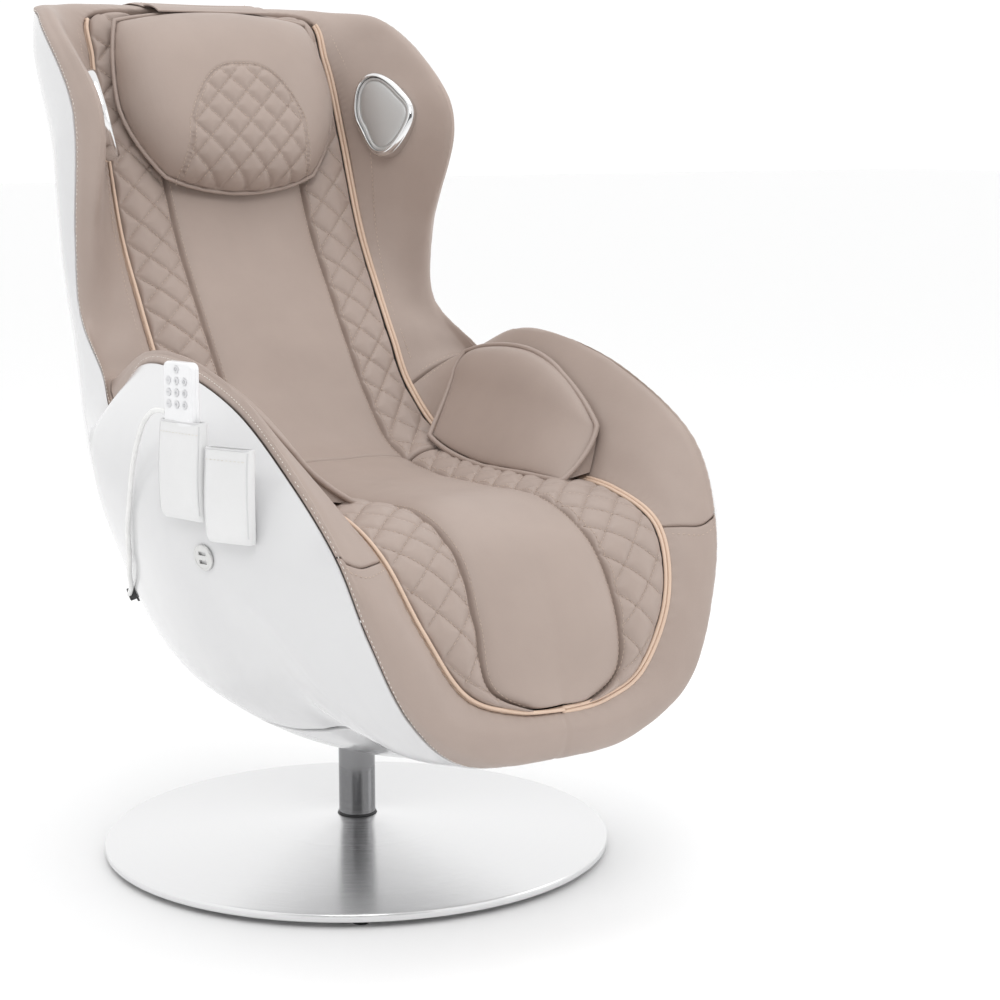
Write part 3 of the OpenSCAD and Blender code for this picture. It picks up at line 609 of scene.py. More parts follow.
p, q = shell_skin(7.25 + GAP, 8.75 - GAP, 7 + GAP, 15.985, 44, 130)
cover = solid("shell_bottom", p, q, GLOSS, slot="shell_white", replaces=["bottom_cover"])
bm = bmesh.new()
bm.from_mesh(cover.data)
HOLE_R = 0.0275
inside = [f for f in bm.faces if math.hypot(*f.calc_center_median()[:2]) < HOLE_R]
bmesh.ops.delete(bm, geom=inside, context="FACES")
for vert in bm.verts:
    if vert.is_boundary and math.hypot(vert.co.x, vert.co.y) < 2 * HOLE_R:
        k = HOLE_R / max(math.hypot(vert.co.x, vert.co.y), 1e-6)
        vert.co.x *= k
        vert.co.y *= k
rim = [e for e in bm.edges if e.is_boundary]
bmesh.ops.bridge_loops(bm, edges=rim)
bm.to_mesh(cover.data)
bm.free()

# --- leather bands
EDGE_U = 0.045
for side, mirrored in (("left", False), ("right", True)):
    p, q = band("wing", EDGE_U, 4 - GAP, 0.012, 7 - GAP, 46, 210, 11, mirrored)
    o = solid("leather_wing_" + side, p, q, LEATHER, slot="leather_beige", replaces=["wing_" + side])
    p, q = band("arm", EDGE_U, 4 - GAP, 7 + GAP, 12 - 0.004, 56, 170, 23, mirrored)
    o = solid("leather_arm_" + side, p, q, LEATHER, slot="leather_beige", replaces=["arm_" + side])
p, q = band("front", EDGE_U, 4 - GAP, 12 + 0.004, 20 - 0.004, 46, 220, 37, creases=(16.0,))
o = solid("leather_front_band", p, q, LEATHER, slot="leather_beige", replaces=["front_band"])

shell_edge = line_on_body(4 - 0.17, np.linspace(1.0, 6.8, 420), -0.0004)
arm_edge = line_on_body(4 - 0.17, np.linspace(7.2, 15.8, 700), -0.0004)
wing_rim = line_on_body(0.42, np.linspace(1.6, 6.6, 420), -0.0002)
notch_up = line_on_body(np.linspace(0.4, 3.8, 120), np.full(120, 6.9), -0.0004)
notch_low = line_on_body(np.linspace(0.4, 3.8, 120), np.full(120, 7.1), -0.0004)
front_seam = line_on_body(np.linspace(0.4, 3.8, 120), np.full(120, 12.12), -0.0004)
add_stitches("thread_along_shell", [shell_edge, arm_edge], LIGHT_STITCH, length=0.0036, gap=0.0026)
add_stitches("thread_on_bands", [wing_rim, notch_up, notch_low, front_seam], STITCH, length=0.0036,
             gap=0.0026)

# --- seat and back pad
PAD_T = 0.024
STRIP = 0.55
PITCH = 0.050


def pad_up(v):
    d = unit(rail(PAD_CENTRE, v + 0.1) - rail(PAD_CENTRE, v - 0.1))
    return unit(np.stack([0 * v, d[..., 2], -d[..., 1]], -1))


def pad_pt(s, v):
    s, v = np.broadcast_arrays(np.asarray(s, float), np.asarray(v, float))
    a = np.abs(s)[..., None]
    c, q, e = rail(PAD_CENTRE, v), rail(PAD_SEAM, v), rail(ROWS[0], v)
    flat = np.zeros_like(e)
    flat[..., 0] = q[..., 0] - e[..., 0]
    edge = e + unit(flat) * 0.0055
    n = pad_up(v)
    t1, t2 = np.clip(a / STRIP, 0, 1), np.clip((a - STRIP) / (1 - STRIP), 0, 1)
    mid = c + (q - c) * t1 + n * 0.003 * np.sin(math.pi * t1)
    out = q + (edge - q) * t2 + n * 0.007 * np.sin(math.pi * t2)
    p = np.where(a < STRIP, mid, out)
    return np.where((s < 0)[..., None], p * MIRROR, p)


def quilt(x, y, pitch, depth, puff):
    """Height of diamond quilting at surface position x, y, and the distance from the nearest row."""
    k = pitch / math.sqrt(2)
    h = 0
    near = None
    for sign in (1, -1):
        t = (x + sign * y) / math.sqrt(2)
        d = np.abs((t / k + 0.5) % 1 - 0.5) * k
        h = h - depth * np.exp(-(d / 0.0021) ** 2)
        near = d if near is None else np.minimum(near, d)
    return h + puff * (1 - np.exp(-(near / (0.22 * k)) ** 2)), near


def pad_piece(name, v0, v1, nv, seed, cad_node, crown):
    s_half = np.concatenate([np.linspace(0, STRIP - 0.03, 16), np.linspace(STRIP - 0.025, STRIP + 0.03, 14),
                             np.linspace(STRIP + 0.038, 0.975, 38), [0.982, 0.988, 0.993, 0.997, 1.0]])
    s = np.concatenate([-s_half[:0:-1], s_half])
    vs, dist, total = spread(lambda t, w: pad_pt(w + 0 * t, t), v0, v1, np.array([0.3]), nv)
    vs, y = vs[:, 0], dist[:, 0]
    S, V = np.meshgrid(s, vs, indexing="ij")
    Y = np.broadcast_to(y[None], S.shape)
    p, n = pad_pt(S, V), pad_up(V)
    across = np.linalg.norm(pad_pt(1.0, vs) - pad_pt(STRIP, vs), axis=-1)
    centre = np.linalg.norm(pad_pt(STRIP, vs) - pad_pt(0.0, vs), axis=-1)
    A = np.abs(S)
    from_seam = np.where(A > STRIP, (A - STRIP) / (1 - STRIP) * across, (STRIP - A) / STRIP * centre)
    from_edge = (1 - A) / (1 - STRIP) * across
    e_end = np.minimum(Y, total[0] - Y)
    strip = A > STRIP
    qh, near = quilt(from_seam, Y, PITCH, 0.0019, 0.0022)
    fade = np.clip(from_seam / 0.006, 0, 1) * np.clip(from_edge / 0.006, 0, 1)
    h = np.where(strip, qh * fade, 0)
    groove = 0.0058 * np.exp(-(from_seam / 0.0026) ** 2) + 0.0022 * np.exp(-(from_seam / 0.009) ** 2)
    h = h - groove
    h = h + np.where(strip, 0, crown * np.clip(1 - np.exp(-from_seam / 0.012), 0, 1))
    h = h + ripple(p, 0.2, 0.0012, seed) * np.clip(from_seam / 0.03, 0, 1)
    h = h - roll(from_edge, 0.005) - roll(e_end, 0.007)
    top = p + n * h[..., None]
    o = solid(name, top, p - n * PAD_T, LEATHER, slot="leather_beige", replaces=[cad_node])
    return dict(s=s, vs=vs, y=y, across=across, centre=centre, top=top, n=n, total=total[0])


V_CREASE = 8.35
back = pad_piece("leather_back_pad", 1.02, V_CREASE - 0.03, 420, 51, "back_pad", 0.0016)
seat = pad_piece("leather_seat_pad", V_CREASE + 0.01, 15.3, 330, 61, "seat_pad", 0.0042)


def quilt_lines(pad, pitch, side):
    """Rows of quilting on one strip, as paths on the pad's own surface."""
    s, y, top, n = pad["s"], pad["y"], pad["top"], pad["n"]
    width = float(pad["across"].max())
    lines = []
    total = pad["total"]
    for sign in (1, -1):
        count = int((total + width) / pitch) + 2
        for m in range(-count, count + 1):
            x = np.linspace(0.004, width, 60)
            yy = sign * (m * pitch - x)
            ok = (yy > 0.006) & (yy < total - 0.006)
            w = np.interp(yy, y, pad["across"])
            ok &= x < w - 0.004
            if ok.sum() < 6:
                continue
            xx, yq, wq = x[ok], yy[ok], w[ok]
            sq = STRIP + (1 - STRIP) * xx / wq
            fi = np.interp(sq * side, s, np.arange(len(s)))
            fj = np.interp(yq, y, np.arange(len(y)))
            i0, j0 = np.minimum(fi.astype(int), len(s) - 2), np.minimum(fj.astype(int), len(y) - 2)
            a, b = (fi - i0)[:, None], (fj - j0)[:, None]
            pick = lambda g: (g[i0, j0] * (1 - a) * (1 - b) + g[i0 + 1, j0] * a * (1 - b)
                              + g[i0, j0 + 1] * (1 - a) * b + g[i0 + 1, j0 + 1] * a * b)
            lines.append((pick(top), pick(n)))
    return lines


rows = []
for pad in (back, seat):
    for side in (1, -1):
        rows += quilt_lines(pad, PITCH, side)
    for side in (1, -1):
        for off in (-0.045, 0.035):
            fi = int(np.argmin(np.abs(pad["s"] - side * (STRIP + off))))
            rows.append((pad["top"][fi, 6:-6], pad["n"][fi, 6:-6]))
add_stitches("thread_on_pads", rows, STITCH, both=False, length=0.0040, gap=0.0022, r=0.0004, lift=0.0003)

# --- piping
PIPE_R = 0.0024
pv = np.concatenate([np.linspace(1.25, 16, 420), np.linspace(16, 30.75, 420)[1:]])
pc = body(0.0, pv)
pn = unit(normal(0.06, pv) + pad_up(pv))
pt = unit(np.gradient(pc, axis=0))
ps = unit(np.cross(pt, pn))
twin = []
for off in (-1, 1):
    twin.append(tube_mesh(pc + ps * off * PIPE_R * 1.02 + pn * 0.0008, PIPE_R, 12))
build_parts("twin_piping", twin, PIPING, slot="piping_tan", replaces=["piping"], angle=60)

# --- simulation
def verts_of(obj, what="co"):
    a = np.empty(len(obj.data.vertices) * 3)
    obj.data.vertices.foreach_get(what, a)
    return a.reshape(-1, 3)


def set_verts(obj, a):
    obj.data.vertices.foreach_set("co", np.asarray(a, float).ravel())
    obj.data.update()


def modify(obj, kind, **settings):
    mod = obj.modifiers.new(kind.lower(), kind)
    for key, value in settings.items():
        setattr(mod, key, value)
    bpy.context.view_layer.objects.active = obj
    bpy.ops.object.modifier_apply(modifier=mod.name)


def puff(obj, cap, hold):
    """Swells a closed form by cloth pressure, by cap at most, and keeps the result in the mesh."""
    rest = verts_of(obj)
    group = obj.vertex_groups.new(name="held")
    group.add([int(i) for i in np.where(hold(rest))[0]], 1.0, "REPLACE")
    mod = obj.modifiers.new("cloth", "CLOTH")
    mod.settings.effector_weights.gravity = 0
    for key, value in (("use_pressure", True), ("uniform_pressure_force", 4.0), ("quality", 5), ("mass", 0.3),
                       ("tension_stiffness", 20), ("compression_stiffness", 20), ("bending_stiffness", 0.8),
                       ("vertex_group_mass", "held")):
        setattr(mod.settings, key, value)
    for k in range(1, 21):
        scene.frame_set(k)
    move = verts_of(obj.evaluated_get(bpy.context.evaluated_depsgraph_get())) - rest
    size = np.linalg.norm(move, axis=1, keepdims=True)
    obj.modifiers.remove(mod)
    obj.vertex_groups.clear()
    set_verts(obj, rest + move * np.minimum(1, cap / np.maximum(size, 1e-9)))
    scene.frame_set(1)


# --- head pillow
PILLOW = np.array([0.332, 0.076, 0.264])
PILLOW_AT = np.array([0, 0.3385, 0.967])
LEAN = math.radians(20.3)
TILT = np.array([[1, 0, 0], [0, math.cos(LEAN), math.sin(LEAN)], [0, -math.sin(LEAN), math.cos(LEAN)]])


def to_world(p):
    return p @ TILT.T + PILLOW_AT


def soft_sq(a, b, k):
    return a * np.sqrt(1 - k * b * b), b * np.sqrt(1 - k * a * a)


def pillow_outline(a, b, grow=1.0):
    x, z = soft_sq(a, b, np.where(b > 0, 0.2, 0.34))
    half = PILLOW[0] / 2 * (1 - 0.15 * np.maximum(0, -b) ** 1.5)
    return x * half * grow, z * PILLOW[2] / 2 * grow


def crown(a, b, p):
    return np.sqrt(np.maximum(0, (1 - np.abs(a) ** p) * (1 - np.abs(b) ** p)))


def square_grid(n):
    """Grid over a square from -1 to 1, finer towards its sides."""
    g = np.sin(np.linspace(-1, 1, n) * math.pi / 2)
    return np.meshgrid(g, g, indexing="ij")


def square_loop(n):
    """Points around the sides of the same square."""
    c, s = np.cos(turn(n)), np.sin(turn(n))
    side = np.maximum(np.abs(c), np.abs(s))
    return c / side, s / side


A, B = square_grid(41)
x, z = pillow_outline(A, B, 0.975)
front = np.stack([x, -0.004 - 0.062 * crown(A, B, 3), z], -1)
rear = np.stack([x, -0.001 + 0.0015 * crown(A, B, 3), z], -1)
pillow = solid("leather_pillow", front[::-1], rear[::-1], LEATHER, rides="pillow", slot="leather_beige",
               replaces=["head_pillow"], angle=0, weld=True)
modify(pillow, "REMESH", mode="VOXEL", voxel_size=0.005)
puff(pillow, 0.007, hold=lambda r: r[:, 1] > -0.006)
modify(pillow, "SMOOTH", iterations=2, factor=0.5)
modify(pillow, "SUBSURF", levels=1)
pillow.data.shade_smooth()
co, no = verts_of(pillow), verts_of(pillow, "normal")
PILLOW_PITCH = 0.041
ARCH_W, ARCH_TOP, ARCH_LOW = 0.084, 0.034, -0.136


def arch_height(x):
    return ARCH_TOP - (np.abs(x) / ARCH_W) ** 2.8 * 0.075


top_x = np.linspace(-ARCH_W, ARCH_W, 80)
arch = np.stack([top_x, arch_height(top_x)], 1)
left_leg = np.stack([np.full(20, -ARCH_W) - np.linspace(0, 1, 20) ** 1.5 * 0.02,
                     np.linspace(arch[0, 1], ARCH_LOW, 20)], 1)
arch_line = np.concatenate([left_leg[::-1][:-1], arch, (left_leg * [-1, 1])[1:]])
front_side = co[:, 1] < -0.012
dist = np.full(len(co), 1.0)
for k in range(len(arch_line)):
    d = np.hypot(co[:, 0] - arch_line[k, 0], co[:, 2] - arch_line[k, 1])
    dist = np.minimum(dist, d)
inside = (np.abs(co[:, 0]) < ARCH_W + 0.02 * np.clip((arch[0, 1] - co[:, 2]) / (arch[0, 1] - ARCH_LOW), 0, 1)
          ** 1.5) & (co[:, 2] < arch_height(np.clip(co[:, 0], -ARCH_W, ARCH_W)))
q, near = quilt(co[:, 0], co[:, 2] + 0.005, PILLOW_PITCH, 0.0019, 0.0026)
h = np.where(front_side & inside, q * np.clip(dist / 0.005, 0, 1), 0)
h = h - np.where(front_side, 0.0030 * np.exp(-(dist / 0.0024) ** 2), 0)
h = h + ripple(co, 0.09, 0.0008, 71) * np.where(inside, 0.3, 1.0)
co = co + no * h[:, None]
set_verts(pillow, to_world(co))


def on_pillow(x, z):
    """World points of the pillow front nearest to local x, z."""
    out, nn = [], []
    for a, b in zip(x, z):
        d = (co[:, 0] - a) ** 2 + (co[:, 2] - b) ** 2 + np.where(co[:, 1] < -0.008, 0, 1)
        close = np.argpartition(d, 6)[:6]
        w = 1 / (d[close] + 1e-7)
        w /= w.sum()
        out.append([a, float((co[close, 1] * w).sum()), b])
        nn.append((no[close] * w[:, None]).sum(0))
    return to_world(np.array(out)), unit(np.array(nn)) @ TILT.T


parts = []
for off in (-0.004, 0.004):
    grow = arch_line * (1 + off / 0.08)
    p, n = on_pillow(grow[4:-4, 0], grow[4:-4, 1])
    parts += stitch_parts(p, n, length=0.0038, gap=0.0022, r=0.0004)
for sign in (1, -1):
    for m in range(-9, 10):
        x = np.linspace(-0.1, 0.1, 110)
        z = sign * (m * PILLOW_PITCH - x) - 0.005
        lim = arch_height(np.clip(x, -ARCH_W, ARCH_W))
        ok = (np.abs(x) < ARCH_W + np.where(z < -0.06, 0.004, -0.003)) & (z < lim - 0.004) & (z > -0.118)
        if ok.sum() > 5:
            p, n = on_pillow(x[ok], z[ok])
            parts += stitch_parts(p, n, length=0.0038, gap=0.0022, r=0.0004)
build_parts("thread_on_pillow", parts, STITCH, rides="pillow", angle=0, slot="leather_beige")

ox, oz = pillow_outline(*square_loop(160), 0.985)
welt = to_world(np.stack([ox, np.full_like(ox, -0.006), oz], 1))
v, f = tube_mesh(welt, 0.0030, 10, closed=True)
build("pillow_welt", v, f, LEATHER, rides="pillow", slot="leather_beige", angle=60)

# strap over the top of the back
us = np.linspace(0.5, 5.6, 80)
vs = np.linspace(-0.45, 0.45, 26)
U, V = np.meshgrid(us, vs, indexing="ij")
pt_, nn_ = body(U, V), normal(U, V)
edge = np.minimum(np.abs(V - vs[0]), np.abs(V - vs[-1])) * 0.17
edge = np.minimum(edge, np.minimum(U - us[0], us[-1] - U) * 0.02)
top = pt_ + nn_ * (0.0036 - roll(edge, 0.0012) + 0.0003 * np.sin(U * 9 + V * 5))[..., None]
under = pt_ + nn_ * 0.0014
solid("leather_pillow_strap", top, under, LEATHER, slot="leather_beige", replaces=["pillow_strap"])
parts = []
for off in (-0.38, 0.38):
    q = us[4:-4]
    parts += stitch_parts(body(q, off) + normal(q, off) * 0.0034, normal(q, off), length=0.0036, gap=0.0026)
build_parts("thread_on_strap", parts, STITCH, angle=0, slot="leather_beige")


# tongue that joins the pillow to the strap
ends = body(0.62, vs) + normal(0.62, vs) * 0.0042
starts = to_world(np.stack([ends[:, 0], np.full(len(vs), -0.020), np.full(len(vs), 0.127)], 1))
hump = (starts + ends) / 2 + np.array([0, 0, 0.007])
along = np.linspace(0, 1, 22)[:, None, None]
top = starts * (1 - along) ** 2 + hump * 2 * along * (1 - along) + ends * along ** 2
down = np.array([0, 0.0003, -0.0018])
tongue = solid("leather_pillow_tongue", top, top + down, LEATHER, rides=None, slot="leather_beige")
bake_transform(tongue)


# --- arm pads
ARM_OVER = np.array([-0.040, 0, -0.008])


def arm_uv(a, b):
    k = np.where(b > 0, np.where(a > 0, 0.3, 0.5), np.where(a > 0, 0.3, 0.05))
    x, y = soft_sq(a, b, k)
    reach = np.where(a > 0, 1.15, 1.45 - 0.15 * np.maximum(b, 0))
    return 0.95 + np.where(b > 0, 0.67, 0.9) * y, 8.83 - reach * x - 0.3 * b


def arm_pt(a, b, lift):
    u, v = arm_uv(a, b)
    return body(u, v) + normal(u, v) * lift[..., None]


def arm_front(a, b, lift):
    """Face of the pad, whose lower edge stands out over the seat."""
    return arm_pt(a, b, lift) + (np.minimum(b, 0) ** 2)[..., None] * ARM_OVER


A, B = square_grid(45)
ea, eb = square_loop(240)
for side, mirrored in (("left", False), ("right", True)):
    top = arm_front(A * 0.962, B * 0.955, 0.007 + 0.019 * crown(A, B, 3))
    under = arm_pt(A * 0.95, B * 0.92, np.full(A.shape, 0.0016))
    if mirrored:
        top, under = top[::-1] * MIRROR, under[::-1] * MIRROR
    o = solid("leather_arm_pad_" + side, top, under, LEATHER, slot="leather_beige",
              replaces=["arm_pad_" + side], angle=60, weld=True)
    flip = MIRROR if mirrored else np.ones(3)
    ring_top = arm_front(ea * 0.985, eb * 0.985, np.full(ea.shape, 0.0105)) * flip
    v, f = tube_mesh(ring_top, 0.0034, 12, closed=True)
    build("welt_arm_pad_" + side, v, f, LEATHER, slot="leather_beige", angle=60)


# --- speakers
def placed(u, v, mirrored):
    """Frame on the body: origin and axes with Z along the outward normal and X level."""
    o, z = body(u, v), normal(u, v)
    x = unit(np.cross([0, 0, 1.0], z))
    y = np.cross(z, x)
    m = MIRROR if mirrored else np.ones(3)
    return o * m, np.stack([x * m, y * m, z * m])


def hull_outline(circles, n=150):
    """Softened outline around circles (x, y, radius in mm), and its centre, in metres."""
    pts = np.concatenate([np.array([x, y]) + r * np.stack([np.cos(q), np.sin(q)], 1)
                          for x, y, r in circles for q in [np.linspace(0, 2 * math.pi, 90)]])
    c = np.array([-1.0, -2.0])
    a = turn(n)
    d = np.stack([np.cos(a), np.sin(a)], 1)
    reach = ((pts - c) @ d.T).max(0)
    out = []
    for k in range(n):
        r = np.inf
        for m in range(n):
            dot = float(d[k] @ d[m])
            if dot > 0.05:
                r = min(r, reach[m] / dot)
        out.append(r)
    swing = np.minimum(a, 2 * math.pi - a)
    weight = np.exp(-0.5 * (swing / math.radians(13)) ** 2)
    weight /= weight.sum()
    soft = np.real(np.fft.ifft(np.fft.fft(np.array(out)) * np.fft.fft(weight))) * 1.02
    return (c + d * soft[:, None]) / 1000, c / 1000


SPEAKER_AT, PORT_AT = (0.8, 2.85), (5.67, 10.85)
SPEAKER = [(-27, 34, 23), (-18, 4, 32), (7, -50, 17), (36, -3, 19), (16, -26, 27), (2, 22, 22)]
outline, centre2 = hull_outline(SPEAKER)


def inset(amount):
    d = outline - centre2
    r = np.linalg.norm(d, axis=1, keepdims=True)
    return centre2 + d * (1 - amount / r)


def under_speaker(xy):
    """Height of the leather under points of the speaker's own plane, a little way in."""
    uu, ww = np.meshgrid(np.linspace(0.05, 2.0, 90), np.linspace(1.6, 4.1, 120), indexing="ij")
    o, axes = placed(*SPEAKER_AT, False)
    local = (body(uu, ww).reshape(-1, 3) - o) @ axes.T
    out = []
    for q in xy:
        d = (local[:, 0] - q[0]) ** 2 + (local[:, 1] - q[1]) ** 2
        out.append(local[int(np.argmin(d)), 2] - 0.0010)
    return np.array(out)


def lathe_rings(profile, closed=False):
    """Rings around the outline at (inset, height) steps."""
    n = len(outline)
    verts = [np.concatenate([inset(ins), np.full((n, 1), hgt)], 1) for ins, hgt in profile]
    return np.concatenate(verts), ring_faces(len(profile), n, closed), n


for side, mirrored in (("left", False), ("right", True)):
    o, axes = placed(*SPEAKER_AT, mirrored)
    rim = [(0.0002, 0.0), (-0.0004, 0.0058), (0.0, 0.0082), (0.0012, 0.0108), (0.0034, 0.0130),
           (0.0052, 0.0139), (0.0064, 0.0139), (0.0071, 0.0130), (0.0074, 0.0112), (0.0075, 0.0060),
           (0.0073, 0.0050)]
    v, f, n = lathe_rings(rim, closed=True)
    v[:n, 2] = under_speaker(v[:n, :2])
    if mirrored:
        f = [list(reversed(q)) for q in f]
    build("speaker_rim_" + side, o + v @ axes, f, POLISHED, slot="silver_trim",
          replaces=["speaker_bezel_" + side], angle=50)
    steps = [(0.0080, 0.0050), (0.0080, 0.0098), (0.0085, 0.0104), (0.0116, 0.0106), (0.0122, 0.0101),
             (0.0127, 0.0093), (0.0133, 0.0093), (0.0138, 0.0100), (0.0146, 0.0106), (0.0160, 0.0108),
             (0.0200, 0.0110), (0.0240, 0.0112)]
    v, f, n = lathe_rings(steps)
    v = np.concatenate([v, [[centre2[0], centre2[1], 0.0114]], [[centre2[0], centre2[1], 0.0050]]])
    last = (len(steps) - 1) * n
    for s in range(n):
        q = (s + 1) % n
        f.append([last + s, last + q, len(v) - 2])
        f.append([q, s, len(v) - 1])
    if mirrored:
        f = [list(reversed(q)) for q in f]
    build("speaker_plate_" + side, o + v @ axes, f, PLATE, slot="grille_satin",
          replaces=["speaker_grille_" + side], angle=50)

# --- pockets and handset
def pocket_frame(at, yaw):
    a = math.radians(yaw)
    x = np.array([math.cos(a), math.sin(a), 0])
    y = np.array([-math.sin(a), math.cos(a), 0])
    return np.array(at) / 1000, np.stack([x, y, np.array([0, 0, 1.0])])


def rounded_rect(x0, x1, y0, y1, r, n):
    """Rectangle with n points around each corner of radius r."""
    out = []
    for cx, cy, a0 in ((x1 - r, y1 - r, 0), (x0 + r, y1 - r, 90), (x0 + r, y0 + r, 180), (x1 - r, y0 + r, 270)):
        for a in np.radians(np.linspace(a0, a0 + 90, n)):
            out.append([cx + r * math.cos(a), cy + r * math.sin(a)])
    return np.array(out)


def densify(ringp, step=0.002):
    q = np.concatenate([ringp, ringp[:1]])
    s = np.concatenate([[0], np.cumsum(np.linalg.norm(np.diff(q, axis=0), axis=1))])
    n = int(s[-1] / step)
    t = np.linspace(0, s[-1], n + 1)[:-1]
    return np.stack([np.interp(t, s, q[:, i]) for i in range(2)], 1)


def pouch(w, h, seed):
    """Rings of points up the outside of a pocket and down its inside."""
    x0, x1 = -0.010, 0.0095
    ring0 = densify(rounded_rect(x0, x1, -w / 2, w / 2, 0.0075, 12))
    n = len(ring0)
    zs = np.concatenate([[0.0, 0.0015, 0.004, 0.008], np.linspace(0.014, h - 0.010, 34),
                         [h - 0.005, h - 0.003, h - 0.001, h]])
    verts = []
    face_out = np.clip((ring0[:, 0] - x0) / (x1 - x0), 0, 1)
    g = np.random.default_rng(seed)
    ph = g.uniform(0, 6.28, 4)
    for z in zs:
        t = z / h
        q = ring0.copy()
        belly = 1 - 0.18 * (1 - math.sin(math.pi * min(1, 0.15 + t * 0.8)))
        q[:, 0] = x0 + (q[:, 0] - x0) * belly * (1 - 0.3 * max(0, 1 - z / 0.012) ** 2)
        q[:, 1] = q[:, 1] * (1 - 0.05 * max(0, 1 - z / 0.012) ** 2)
        wave = 0.0005 * np.sin(q[:, 1] * 90 + ph[0] + t * 5) + 0.0004 * np.sin(q[:, 1] * 170 + ph[1] - t * 7)
        q[:, 0] -= (0.0006 + wave) * face_out * (0.3 + 0.7 * t)
        verts.append(np.concatenate([q, np.full((n, 1), z)], 1))
    wall = 0.0018
    for z in zs[::-1][:-3]:
        i = int(np.argmin(np.abs(zs - z)))
        q = verts[i].copy()
        c = np.array([(x0 + x1) / 2, 0])
        d = q[:, :2] - c
        q[:, 0] = c[0] + d[:, 0] * (1 - wall / 0.009)
        q[:, 1] = c[1] + d[:, 1] * (1 - wall / (w / 2))
        verts.append(q)
    return verts, zs


POCKETS = {"handset_pocket": ((-366, -249, 508), 192, 0.072, 0.110, 3),
           "phone_pocket": ((-343, -314.8, 488), 205, 0.062, 0.105, 5)}
for node_name, (at, yaw, w, h, seed) in POCKETS.items():
    o, axes = pocket_frame(at, yaw)
    verts, zs = pouch(w, h, seed)
    v, f = np.concatenate(verts), ring_faces(len(verts), len(verts[0]), caps=True)
    build("leather_" + node_name, o + v @ axes, f, WHITE_LEATHER, slot="leather_white",
          replaces=[node_name], angle=45)
    rim_ring = verts[len(zs) - 1].copy()
    rim_ring[:, 2] = h - 0.0006
    c = np.array([-0.00025, 0])
    rim_ring[:, :2] = c + (rim_ring[:, :2] - c) * 0.955
    parts = [tube_mesh(o + rim_ring @ axes, 0.0013, 8, closed=True)]
    for sy in (-1, 1):
        col = []
        for q in verts[3:len(zs) - 2]:
            pick = np.argmin(np.abs(q[:, 1] - sy * (w / 2 - 0.0022)) + np.where(q[:, 0] < 0.002, 1, 0))
            col.append(q[pick])
        parts.append(tube_mesh(o + np.array(col) @ axes, 0.0009, 8))
    build_parts("binding_" + node_name, parts, BINDING, slot="leather_white", angle=60)
    line = verts[len(zs) - 6]
    front_pts = np.where(line[:, 0] > 0.004)[0]
    order = front_pts[np.argsort(line[front_pts, 1])]
    p = line[order]
    nn = np.tile(np.array([1.0, 0, 0]), (len(p), 1))
    stitches = stitch_parts(o + p @ axes, nn @ axes, length=0.0034, gap=0.0022, r=0.00035)
    build_parts("thread_" + node_name, stitches, LIGHT_STITCH, slot="leather_white", angle=0)

HS = np.array([0.013, 0.050, 0.172])
hs_o, hs_axes = pocket_frame((-366, -249, 508), 192)
hs_o = hs_o + np.array([-0.00025, 0, 0.004]) @ hs_axes
KEYS = [(0, -1), (-1, 0), (0, 0), (1, 0), (-1, 1), (0, 1), (1, 1), (-1, 2), (0, 2), (1, 2)]
KEY_TOP, KEY_GRID, KEY_STEP = 0.151, 0.014, 0.013


def plate_rings(levels):
    """Rounded plate built from (x, inset) levels, closed at both ends."""
    verts = []
    for x, ins in levels:
        half = HS[1] / 2 - ins
        q = rounded_rect(-half, half, ins, HS[2] - ins, 0.008 - min(ins, 0.006), 10)
        verts.append(np.concatenate([np.full((len(q), 1), x), q], 1))
    return np.concatenate(verts), ring_faces(len(verts), len(verts[0]), caps=True)


t = HS[0] / 2
levels = [(-t, 0.0030), (-t + 0.0004, 0.0016), (-t + 0.0013, 0.0006), (-t + 0.0030, 0.0), (-0.0004, 0.0),
          (-0.0002, 0.0004), (0.0002, 0.0004), (0.0004, 0.0), (t - 0.0030, 0.0), (t - 0.0013, 0.0006),
          (t - 0.0004, 0.0016), (t, 0.0030)]
v, f = plate_rings(levels)
build("handset_case", hs_o + v @ hs_axes, f, HANDSET, rides="handset", slot="handset_white",
      replaces=["handset_body"], angle=40)


def key_ring(at, height, r, n, tube_r):
    """Thin ring around a key's centre, at a height over the handset's face."""
    cy, cz = at[0] * KEY_GRID, KEY_TOP - KEY_STEP * at[1]
    path = np.stack([np.full(n, t + height), cy + r * np.cos(turn(n)), cz + r * np.sin(turn(n))], 1)
    return tube_mesh(hs_o + path @ hs_axes, tube_r, 6, closed=True)


rings = [key_ring(at, 0.0001, 0.0046, 32, 0.0004) for at in KEYS]
build_parts("handset_key_rings", rings, HANDSET, rides="handset", slot="handset_white", angle=60)

# generic marks on the keys: a ring, a dash or a cross, clear of the case when a key is pressed
KEY_NAMES = ["power", "auto", "knead", "tap", "heat", "air", "music", "up", "timer", "down"]
MARKS = [(), ((1, 0),), ((1, 0), (0, 1))]
MARK_LIFT, MARK_R = 0.0015, 0.0002
for index, (c, r) in enumerate(KEYS):
    bars = MARKS[index % 3]
    parts = [] if bars else [key_ring((c, r), MARK_LIFT, 0.0017, 24, MARK_R)]
    for dy, dz in bars:
        w = np.linspace(-0.0019, 0.0019, 5)
        path = np.stack([np.full(5, t + MARK_LIFT), c * KEY_GRID + w * dy, KEY_TOP - KEY_STEP * r + w * dz], 1)
        parts.append(tube_mesh(hs_o + path @ hs_axes, MARK_R, 6))
    key_name = "key_" + KEY_NAMES[index]
    build_parts("mark_" + KEY_NAMES[index], parts, KEY, rides=key_name, slot="key_grey", angle=60)

